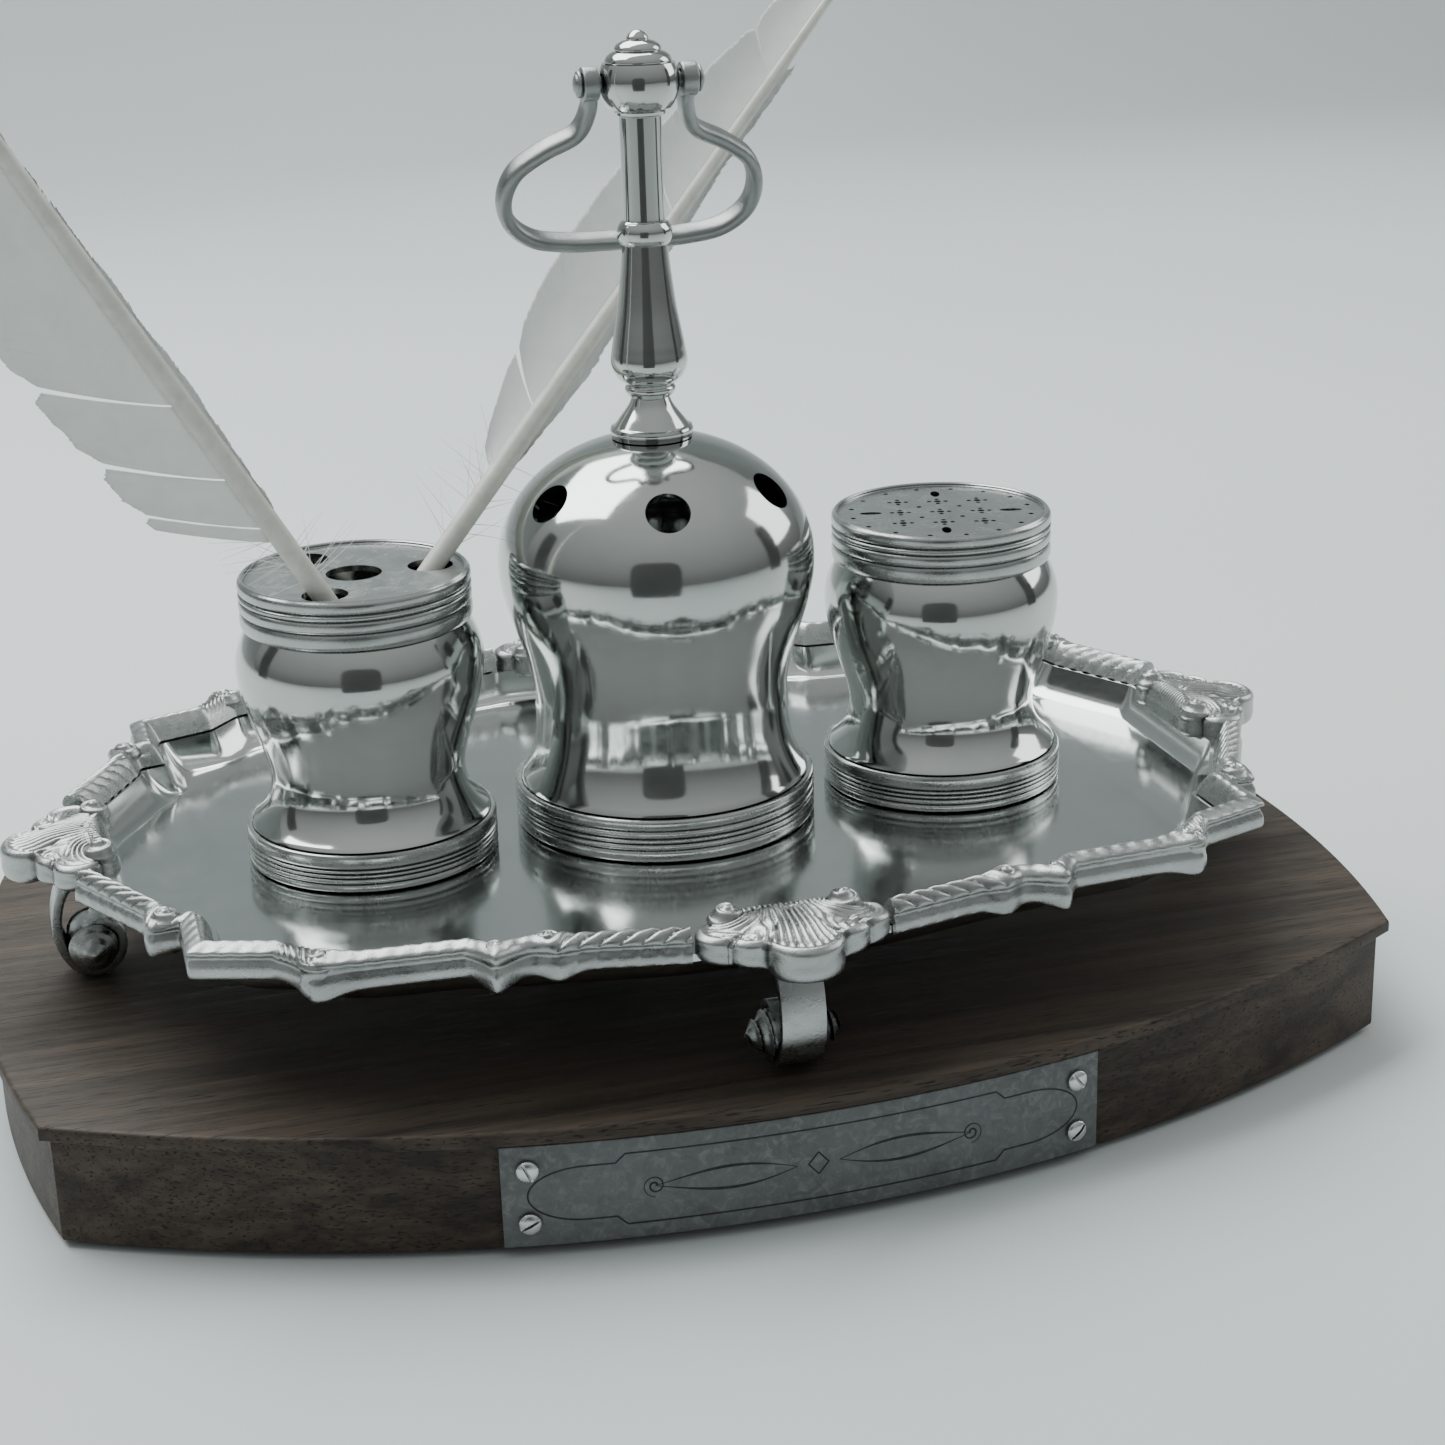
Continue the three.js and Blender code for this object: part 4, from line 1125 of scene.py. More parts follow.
@dataclass
class Border:
    """Cast moulding round the tray, in four runs with gadroons, curls and plain mitred ears.

    Each of the scrolls has its corner of the outline, its share of the way to the next corner, its inset, its
    radius and the way that it winds.
    """

    outer: np.ndarray
    floor: float
    rim_top: float = 11.7
    rim_bottom: float = 5.1
    width: float = 5.8
    seat: float = 7.0
    seat_inset: float = 1.2
    flute_pitch: float = 3.8
    flute_depth: float = 0.9
    corner_round: float = 0.8
    scrolls: tuple[tuple[int, float, float, float, int], ...] = (
        (1, 0.75, 2.5, 3.3, 1), (6, 0.0, 2.0, 3.8, -1), (8, 0.9, 2.4, 3.1, 1), (10, 0.1, 2.4, 3.1, -1))

    def visible(self, plain: bool) -> np.ndarray:
        """The section from the outer foot over the top to the inner edge.

        Args:
            plain: Whether it is the ears' section with a flat sloping top, or the round one.

        Returns:
            Points as (inset, height) rows.
        """
        lowest, top, inner = self.rim_bottom, self.rim_top, self.width
        if plain:
            corners = [(0.9, lowest - 0.1), (0.25, lowest + 0.3), (0.0, lowest + 1.3), (0.1, lowest + 2.6),
                       (0.55, lowest + 3.6), (0.6, lowest + 4.2), (0.1, lowest + 4.75), (0.05, top - 1.3),
                       (0.6, top - 0.85), (2.6, top), (3.6, top - 0.5), (4.5, top - 1.9), (5.2, top - 3.4),
                       (inner, self.seat)]
        else:
            corners = [(1.1, lowest - 0.1), (0.35, lowest + 0.3), (0.0, lowest + 1.2), (0.1, lowest + 2.4),
                       (0.7, lowest + 3.7), (0.3, lowest + 4.6), (0.45, top - 1.1),
                       (1.2, top - 0.35), (2.2, top), (3.1, top - 0.1), (3.9, top - 0.8), (4.6, top - 1.9),
                       (5.2, top - 3.2), (inner, self.seat)]
        return spline(corners, 3)

    def run(self) -> Skin:
        """The moulding of the back right quarter.

        Returns:
            The moulding.
        """
        corners = np.hstack([self.outer, mitres(fourfold(self.outer))[:len(self.outer)]])
        stations = measured(corners)
        line = evenly(filleted(corners, self.corner_round, 4), 0.3)
        along = measured(line)
        plain, round_ = self.visible(True), self.visible(False)
        top_share = ease(round_[:, 1], self.rim_bottom + 3.8, self.rim_top - 1.2)
        inner_share = ease(round_[:, 0], 3.0, self.width)
        low_share = ease(round_[:, 1], self.rim_bottom + 0.2, self.rim_bottom + 1.5)
        knots = [(stations[index] + share * (stations[index + 1] - stations[index]), radius)
                 for index, share, _, radius, _ in self.scrolls]
        wall_share = 1 - ease(round_[:, 0], 0.8, 2.8)
        notch, dip, ear, ear_end, bar, bar_end, front = stations[[1, 2, 3, 5, 6, 8, 10]]
        rows = []
        for s, (x, y, mx, my) in zip(along, line):
            swell = sum(0.5 * radius * math.exp(-((s - knot) / (1.15 * radius)) ** 2) for knot, radius in knots)
            on_ear = between(s, ear - 0.8, ear + 0.8, ear_end - 1.2, ear_end + 0.4)
            on_bar = between(s, bar, bar + 2, bar_end - 1.5, bar_end)
            fluted = 1 - ease(s, notch - 1.5, notch) + ease(s, front + 0.5, front + 2)
            leafed = between(s, ear_end - 0.5, ear_end + 1.0, bar - 1.0, bar + 1)
            notched = between(s, notch, dip, dip + 1.5, ear)
            section = round_ + (plain - round_) * max(on_ear, 0.65 * on_bar)
            inset, z = section[:, 0].copy(), section[:, 1].copy()
            slant = (s - 1.5 * inset) / self.flute_pitch
            groove = 1 - np.abs(np.sin(np.pi * slant)) ** 0.7
            z -= fluted * self.flute_depth * groove * np.maximum(top_share, 0.7 * inner_share * low_share)
            inset += fluted * 0.25 * groove * low_share * (1 - inner_share)
            vein = 1 - np.abs(np.sin(np.pi * (s / 1.5 + 0.6 * inset))) ** 0.8
            z -= (leafed + 0.6 * notched) * 0.6 * vein * top_share
            z -= notched * 0.9 * top_share
            z += 0.06 * np.sin(1.9 * s) * top_share + 0.2 * swell * top_share
            z -= 0.75 * swell * wall_share * (1 - low_share)
            inset -= swell * wall_share
            inset = np.append(inset, [self.seat_inset, self.seat_inset])
            height = self.floor + np.append(z, [self.seat, self.rim_bottom])
            rows.append(np.stack([x + inset * mx, y + inset * my, height], axis=1))
        rows = np.array(rows)
        return closed(rows)

    def curls(self) -> Skin:
        """The curled bosses of the back right quarter.

        Returns:
            The bosses.
        """
        skin = Skin()
        shift = mitres(fourfold(self.outer))
        for index, share, inset, radius, hand in self.scrolls:
            here, there = self.outer[index], self.outer[(index + 1) % len(self.outer)]
            spot = here + (there - here) * share + inset * shift[index]
            skin.add(curl(radius, self.rim_bottom - 1.4, self.rim_top + 0.6, hand),
                     at(spot[0], spot[1], self.floor))
        return skin

    def build(self) -> None:
        """Makes the four runs."""
        quarter = self.run().add(self.curls())
        for name, (sx, sy) in QUARTERS.items():
            mirrored = Skin().add(quarter, Matrix.Diagonal((sx, sy, 1, 1)))
            place_piece(f"border_{name}", mirrored, Look.CAST, "tray", [f"tray_border_{name}"], 48)


@dataclass
class Shell:
    """Cast shell over the middle of one side: a ribbed fan with scalloped edge between two curled knobs."""

    floor: float
    bottom: float = 3.8
    side_bottom: float = 5.4
    top: float = 12.2
    root: float = 80.5
    root_half: float = 13.5
    pole: float = 84.5
    lobes: tuple[tuple[float, float, float], ...] = ((0, 94.5, 7.2), (8.4, 90.4, 5.0), (13.4, 87.6, 4.7))
    knob_across: float = 11.0
    knob_out: float = 83.0
    knob_radius: float = 3.6
    knob_top: float = 13.4
    rib_pitch: float = 0.95
    rib_height: float = 0.5

    def reach(self, angle: np.ndarray) -> np.ndarray:
        """Distance from the fan's pole to its edge.

        Args:
            angle: Directions in radians, 0 outwards.

        Returns:
            The distances.
        """
        direction = np.stack([np.sin(angle), np.cos(angle)], axis=1)
        best = np.zeros(len(angle))
        circles = [(side * x, y, r) for x, y, r in self.lobes for side in (-1, 1)]
        for x, y, radius in circles:
            offset = np.array([x, y - self.pole])
            along = direction @ offset
            inside = radius ** 2 - (offset @ offset - along ** 2)
            best = np.maximum(best, np.where(inside > 0, along + np.sqrt(np.maximum(inside, 0)), 0))
        walls = np.stack([self.root_half / np.maximum(np.abs(direction[:, 0]), 1e-6),
                          np.where(direction[:, 1] < 0, (self.pole - self.root) / np.maximum(-direction[:, 1], 1e-6),
                                   8 / np.maximum(direction[:, 1], 1e-6))])
        return np.maximum(best, walls.min(axis=0))

    def ribs(self, x: np.ndarray, y: np.ndarray) -> np.ndarray:
        """Height share of the ribs, which fan out from the root and wind round the knobs.

        Args:
            x: Points along the side.
            y: Points out from the middle.

        Returns:
            The shares, from 0 to 1.
        """
        right = np.hypot(x - self.knob_across, y - self.knob_out)
        left = np.hypot(x + self.knob_across, y - self.knob_out)
        fan = (left - right) / 2
        nearest = np.minimum(left, right)
        wound = np.sign(x) * (self.knob_across - nearest)
        share = 1 - ease(nearest, 5.0, 10.0)
        line = fan + (wound - fan) * share
        return np.abs(np.cos(np.pi * line / self.rib_pitch)) ** 0.8

    def fan(self) -> Skin:
        """The ribbed top, the smooth scalloped wall and the underside.

        Returns:
            The shell without its knobs.
        """
        angle = np.linspace(-np.pi, np.pi, 480, endpoint=False)
        edge = self.reach(angle)
        facing = 0.5 + 0.5 * np.cos(angle)
        outer_side = ease(np.cos(angle), -0.35, 0.1)
        valley = edge - 0.5 * (np.roll(edge, 6) + np.roll(edge, -6))
        crease = np.clip(-valley * 1.6, 0, 1)
        foot = self.side_bottom + (self.bottom - self.side_bottom) * ease(facing, 0.88, 0.97)
        rows = []
        for share in np.linspace(0, 0.96, 64):
            x, y = edge * share * np.sin(angle), self.pole + edge * share * np.cos(angle)
            slope = self.top - 0.2 - 2.1 * share ** 2 * outer_side - 3.5 * share ** 3 * (1 - outer_side)
            lip = 0.65 * np.exp(-((share - 0.93) / 0.05) ** 2) * outer_side
            hollow = 0.5 * np.exp(-((share - 0.72) / 0.16) ** 2) * outer_side
            rib = self.rib_height * self.ribs(x, y) * (1 - ease(share, 0.8, 0.9)) * ease(share, 0.02, 0.12)
            z = slope + lip - hollow + rib - 0.7 * crease * share ** 4
            rows.append(np.stack([x, y, np.minimum(z, self.top + 0.5)], axis=1))
        brow = self.top - 1.9 * outer_side - 3.3 * (1 - outer_side) - 0.7 * crease
        wall = [(0.985, 0.97), (1.0, 0.86), (0.995, 0.6), (1.0, 0.35), (0.985, 0.16), (0.93, 0.03), (0.8, 0.0)]
        for share, lift in spline(wall, 3):
            z = foot + (brow - foot) * lift
            rows.append(np.stack([edge * share * np.sin(angle), self.pole + edge * share * np.cos(angle), z], axis=1))
        rows = np.array(rows)
        return Skin().grid(rows, around=True).lid(rows[-1])

    def build(self, name: str, side_turn: float, shift: float) -> None:
        """Makes one side's shell.

        Args:
            name: The side.
            side_turn: Its turn from the back, in degrees.
            shift: How much further out than at the back it stands.
        """
        skin = self.fan()
        for side in (-1, 1):
            knob = curl(self.knob_radius, self.side_bottom, self.knob_top, side, 2.4, 0.55)
            skin.add(knob, at(side * self.knob_across, self.knob_out))
        move = turn(side_turn) @ at(0, shift, self.floor)
        place_piece(f"shell_{name}_fan", skin.moved(move), Look.CAST, "tray", [f"shell_{name}"], 48)


@dataclass
class Foot:
    """Cast scroll foot: a panelled strap that curls under itself between two stepped bosses."""

    plinth_top: float
    top: float
    out: float = 86.0
    width: float = 8.4
    thickness: float = 2.0
    reach: float = 5.0
    scroll: float = 6.6
    pad_thickness: float = 1.5
    boss_root: float = 4.4
    boss_radius: float = 4.5
    boss_limit: float = 5.0
    boss_step: float = 0.9
    boss_turns: float = 2.6

    def strap(self) -> Skin:
        """The strap, with raised edges on its outer face.

        Returns:
            The strap.
        """
        top, centre = self.top, self.scroll
        lowest = GAP + self.thickness / 2
        line = spline([(2.5, top - self.pad_thickness / 2), (5.2, top - 4), (6.6, centre + 6), (6.2, centre + 0.8),
                       (3.4, lowest + 1.2), (-0.8, lowest), (-4.6, lowest + 2.4), (-5.4, centre + 1.8),
                       (-2.4, centre + 4.6), (0.6, centre + 3.2), (1.6, centre + 1.2)], 9)
        points = np.stack([np.zeros(len(line)), line[:, 0], line[:, 1]], axis=1)
        half, thick = self.width / 2, self.thickness / 2
        face = [(half, -thick), (half, thick * 0.7), (half - 0.3, thick), (half - 0.9, thick), (half - 1.3, 0.45),
                (half - 2.2, 0.3)]
        section = np.array(face + [(-x, z) for x, z in reversed(face)])
        section = filleted(section, 0.25, 2, closed=True)
        return swept(points, section * (-1, 1), np.array([1.0, 0, 0]))

    def boss(self) -> Skin:
        """A stepped cone that winds like a snail, along +Z.

        Returns:
            The boss.
        """
        angle = np.linspace(0, 2 * np.pi, 72, endpoint=False)
        rows = [ring(self.boss_root, angle, -self.width / 2)]
        for share in np.linspace(0, 1, 42):
            winding = (share * self.boss_turns - angle / (2 * np.pi)) % 1
            step = self.boss_step * (1 - winding) * (1 - ease(share, 0.85, 1)) * ease(share, 0, 0.1)
            radius = self.boss_radius * (1 - share) ** 0.8 + step
            radius = np.minimum(radius, self.boss_limit) if share < 1 else 0.0
            z = self.reach * share + 0.15 * np.cos(2 * np.pi * winding) * (1 - ease(share, 0.8, 1))
            rows.append(ring(radius, angle, z))
        return Skin().grid(np.array(rows), around=True).lid(rows[0])

    def build(self, name: str, side_turn: float, shift: float) -> None:
        """Makes one side's foot.

        Args:
            name: The side.
            side_turn: Its turn from the back, in degrees.
            shift: How much further out than at the back it stands.
        """
        skin = self.strap()
        for side in (-1, 1):
            skin.add(self.boss(), at(side * self.width / 2, 0, self.scroll) @ turn(90 * side, "Y"))
        move = turn(side_turn) @ at(0, shift + self.out, self.plinth_top)
        place_piece(f"foot_{name}_scroll", skin.moved(move), Look.CAST, "tray", [f"foot_{name}"], 42)


@dataclass
class Tray:
    """The tray: a dished plate, its border, four shells and four feet."""

    plinth: Plinth
    sheet: float = 1.4
    flange_bottom: float = 5.3
    flange_inset: float = 1.5
    cave_inset: float = 6.6
    side_shift: float = 33.0
    border_quarter: np.ndarray = field(default_factory=lambda: np.array([
        (122.0, 21.5), (110.5, 43.0), (109.0, 49.6), (104.7, 50.6), (104.9, 64.8), (90.5, 69.8),
        (84.0, 77.3), (76.0, 79.4), (58.0, 80.6), (53.5, 85.2), (46.0, 83.0), (19.0, 89.0)]))
    floor_quarter: np.ndarray = field(default_factory=lambda: np.array([
        (111.5, 18.5), (99.0, 39.5), (97.0, 43.5), (94.5, 46.5), (92.5, 56.5), (84.5, 60.5),
        (78.0, 65.8), (72.5, 68.6), (57.5, 70.0), (52.0, 71.2), (45.5, 72.8), (18.0, 78.0)]))
    floor: float = field(default_factory=lambda: low("inkwell_foot_ring").z - GAP)

    def plate(self) -> Skin:
        """The dished plate with its hollow sloping side.

        Returns:
            The plate.
        """
        outer = fourfold(self.border_quarter)
        shift = mitres(outer)
        soften = lambda loop, reach: filleted(loop, reach, 4, closed=True)
        floor = soften(fourfold(self.floor_quarter), 3.0)
        upper = soften(outer + self.cave_inset * shift, 1.4)
        lower = soften(outer + (self.cave_inset - 1) * shift, 1.4)
        edge = soften(outer + self.flange_inset * shift, 0.6)
        flange_top = self.flange_bottom + self.sheet
        rise = lambda share: flange_top * share ** 2.05
        loops = [(floor + (lower - floor) * s, rise(s) - self.sheet) for s in np.linspace(0.05, 1, 14)]
        loops += [(lower, self.flange_bottom), (edge, self.flange_bottom), (edge, flange_top), (upper, flange_top)]
        loops += [(floor + (upper - floor) * s, rise(s)) for s in np.linspace(0.97, 0, 22)]
        rows = np.array([[(x, y, self.floor + z) for x, y in loop] for loop, z in loops])
        return closed(rows)

    def build(self) -> None:
        """Makes the tray."""
        place_piece("tray_dish", self.plate(), Look.FLOOR, "tray", ["tray_plate"], 40)
        Border(self.border_quarter, self.floor).build()
        shell = Shell(self.floor)
        foot_top = self.floor - self.plinth.top + shell.bottom - GAP
        foot = Foot(self.plinth.top, foot_top)
        for name, side_turn in SIDES.items():
            shift = self.side_shift if side_turn % 180 else 0.0
            shell.build(name, side_turn, shift)
            foot.build(name, side_turn, shift)


# --- Inkwell and sander ---

def flow(start: tuple[float, float], end: tuple[float, float], steps: int, bend: Callable[[float], float]
         ) -> list[tuple[float, float]]:
    """A flowing side between two (radius, height) points, by an ease from 0 to 1."""
    shares = np.linspace(0, 1, steps + 1)[1:]
    return [(start[0] + (end[0] - start[0]) * bend(t), start[1] + (end[1] - start[1]) * t) for t in shares]


def reeds(radius: float, bottom: float, top: float, shares: Sequence[float], depth: float = 0.55,
          groove: float = 0.3) -> list[tuple[float, float]]:
    """The outside of a reeded band, from its bottom to its top.

    Args:
        radius: Outer radius.
        bottom: Lowest point.
        top: Highest point.
        shares: Height of each ring as a share of the whole, from the bottom.
        depth: Depth of the grooves between the rings.
        groove: Width of a groove.

    Returns:
        Points as (radius, height).
    """
    line = []
    start = bottom
    for share in shares:
        end = start + share * (top - bottom)
        size = end - start - groove
        for t in np.linspace(0, 1, 9):
            swell = (1 - abs(2 * t - 1) ** 3.2)
            line.append((radius - depth * 0.55 * (1 - swell), start + groove / 2 + size * t))
        line.append((radius - depth, end))
        start = end
    return [(radius - depth, bottom), *line]


@dataclass
class Vessel:
    """One spun vessel on a reeded foot ring with a push-on lid."""

    name: str
    foot_radius: float = 25.2
    foot_height: float = 8.0
    foot_wall: float = 3.4
    ankle_radius: float = 24.3
    skirt_radius: float = 21.2
    waist: tuple[float, float] = (19.45, 17.8)
    belly: tuple[float, float] = (24.5, 40.5)
    neck: tuple[float, float] = (21.9, 48.5)
    collar_radius: float = 20.6
    collar_height: float = 6.6
    wall: float = 1.4
    lid_radius: float = 22.9
    lid_height: float = 9.9
    plate_drop: float = 0.7
    quill_seat: float = 1.7
    plate: float = 1.2
    rim_wall: float = 1.3
    ink_hole: float = 5.5
    quill_hole: float = 4.5
    quill_hole_out: float = 15.2
    piercing_turn: float = -16.0
    piercing_pitch: float = 8.4
    cross_middle: float = 0.75
    cross_arm: float = 0.5
    cross_reach: float = 1.75
    dot: float = 0.55
    leaf: float = 2.3
    leaf_out: float = 14.6
    ring_holes: int = 16
    ring_out: float = 18.8
    floor: float = field(default_factory=lambda: low("inkwell_foot_ring").z - GAP)

    def __post_init__(self) -> None:
        """Finds where the vessel stands."""
        spot = middle(f"{self.name}_body")
        self.move = at(round(spot.x, 2), 0, self.floor)

    @property
    def lid_bottom(self) -> float:
        """Lowest point of the lid over the tray's floor."""
        return self.neck[1] + GAP

    @property
    def plate_top(self) -> float:
        """Top of the lid's plate over the tray's floor."""
        return self.lid_bottom + self.lid_height - self.plate_drop

    @property
    def seat_top(self) -> float:
        """Height over the tray's floor at which the quills' places are given."""
        return self.lid_bottom + self.lid_height - self.quill_seat

    def foot_ring(self) -> Skin:
        """The reeded foot ring.

        Returns:
            The ring.
        """
        inner = max(self.skirt_radius + GAP, self.foot_radius - self.foot_wall)
        outside = reeds(self.foot_radius, GAP, self.foot_height, (0.22, 0.16, 0.12, 0.12, 0.38))
        line = [(inner, GAP), *outside, (inner, self.foot_height), (inner, GAP)]
        return lathe(line)

    def body(self) -> Skin:
        """The spun body, hollow.

        Returns:
            The body.
        """
        start = (self.ankle_radius, self.foot_height + GAP)
        side = [start, *flow(start, self.waist, 26, lambda t: 1 - (1 - t) ** 2.5),
                *flow(self.waist, self.belly, 30, lambda t: math.sin(t * math.pi / 2) ** 1.5),
                *flow(self.belly, self.neck, 14, lambda t: t * t)]
        inner = [(r - self.wall, z) for r, z in reversed(side) if start[1] + self.wall < z < self.neck[1] - self.wall]
        collar_top = self.neck[1] + self.collar_height
        inside = self.collar_radius - self.wall
        skirt = self.skirt_radius - self.wall
        line = [(self.skirt_radius, 2 * GAP), (self.skirt_radius, start[1] - 0.05), (start[0] - 0.2, start[1]),
                *side[1:], (self.collar_radius, self.neck[1] + 0.1), (self.collar_radius, collar_top),
                (inside, collar_top), (inside, self.neck[1] - self.wall), *inner, (skirt, start[1] + self.wall),
                (skirt, 2 * GAP), (self.skirt_radius, 2 * GAP)]
        return lathe(line, 192)

    def lid(self) -> Skin:
        """The lid before its holes: a reeded skirt and a sunk plate.

        Returns:
            The lid.
        """
        inside = self.collar_radius + 0.4
        top = self.lid_bottom + self.lid_height
        rim = self.lid_radius - self.rim_wall
        outside = reeds(self.lid_radius, self.lid_bottom, top - 0.25, (0.34, 0.26, 0.14, 0.26))
        line = [(0, self.plate_top - self.plate), (inside, self.plate_top - self.plate), (inside, self.lid_bottom),
                *outside, (self.lid_radius - 0.7, top), (rim + 0.2, top), (rim, top - 0.2),
                (rim, self.plate_top + 0.15), (rim - 0.15, self.plate_top), (0, self.plate_top)]
        return lathe(line)

    def punch(self, x: float, y: float, radius: float, squash: float = 1.0, spin: float = 0.0,
              sides: int = 40) -> Skin:
        """A cutter through the lid's plate.

        Args:
            x: Its place along X from the lid's middle.
            y: Its place along Y.
            radius: Its radius.
            squash: Size across as a share of the size along.
            spin: Turn about the lid's middle, in degrees.
            sides: Number of its sides.

        Returns:
            The cutter.
        """
        line = [(0, self.plate_top - 3), (radius, self.plate_top - 3), (radius, self.plate_top + 2),
                (0, self.plate_top + 2)]
        shape = lathe(line, sides)
        return shape.moved(turn(spin) @ at(x, y) @ Matrix.Diagonal((1, squash, 1, 1)))

    def holes(self) -> Skin:
        """The holes of the inkwell's lid.

        Returns:
            Their cutters.
        """
        skin = self.punch(0, 0, self.ink_hole, sides=72)
        for spin in (0, 120, 240):
            skin.add(self.punch(self.quill_hole_out, 0, self.quill_hole, spin=spin, sides=60))
        return skin

    def piercings(self) -> Skin:
        """The pattern of the sander's lid: crosses, dots, four leaves and a ring of small holes.

        Returns:
            Their cutters.
        """
        skin = Skin()
        pitch, spin = self.piercing_pitch, self.piercing_turn
        for i in (-1, 0, 1):
            for j in (-1, 0, 1):
                skin.add(self.punch(i * pitch, j * pitch, self.cross_middle, spin=spin, sides=20))
                for dx, dy in ((1, 0), (-1, 0), (0, 1), (0, -1)):
                    x, y = i * pitch + dx * self.cross_reach, j * pitch + dy * self.cross_reach
                    skin.add(self.punch(x, y, self.cross_arm, spin=spin, sides=12))
        for i in (-0.5, 0.5):
            for j in (-0.5, 0.5):
                skin.add(self.punch(i * pitch, j * pitch, self.dot, spin=spin, sides=16))
        for quarter in (0, 90, 180, 270):
            skin.add(self.punch(self.leaf_out, 0, self.leaf, 0.42, spin + quarter, 36))
        for k in range(self.ring_holes):
            around = spin + 360 * (k + 0.5) / self.ring_holes
            skin.add(self.punch(self.ring_out, 0, self.dot, spin=around, sides=16))
        return skin

    def build(self, lid_body: str) -> None:
        """Makes the vessel.

        Args:
            lid_body: The body that the lid moves with.
        """
        name, move = self.name, self.move
        place_piece(f"{name}_reeded_foot", self.foot_ring().moved(move), Look.SATIN, name, [f"{name}_foot_ring"], 28)
        place_piece(f"{name}_spun_body", self.body().moved(move), Look.POLISHED, name, [f"{name}_body"], 30)
        cutters = self.holes() if name == "inkwell" else self.piercings()
        place_piece(f"{name}_cap", self.lid().moved(move), Look.SATIN, lid_body, [f"{name}_lid"], 28,
                    cutters.moved(move))
        dress_node(f"{name}_base", Look.SATIN)

    def build_liner(self, radius: float = 17.2, wall: float = 2.2, height: float = 30.0) -> None:
        """Makes the glass that holds the ink.

        Args:
            radius: Outer radius.
            wall: Thickness.
            height: Height.
        """
        bottom = low("ink_liner").z - self.floor
        top = bottom + height
        line = filleted([(0, bottom), (radius, bottom), (radius, top), (radius - wall, top),
                         (radius - wall, bottom + wall), (0, bottom + wall)], 0.8, 4)
        place_piece("ink_glass", lathe(line, 96).moved(self.move), Look.GLASS, "inkwell", ["ink_liner"], 40)


# --- Quill holder ---

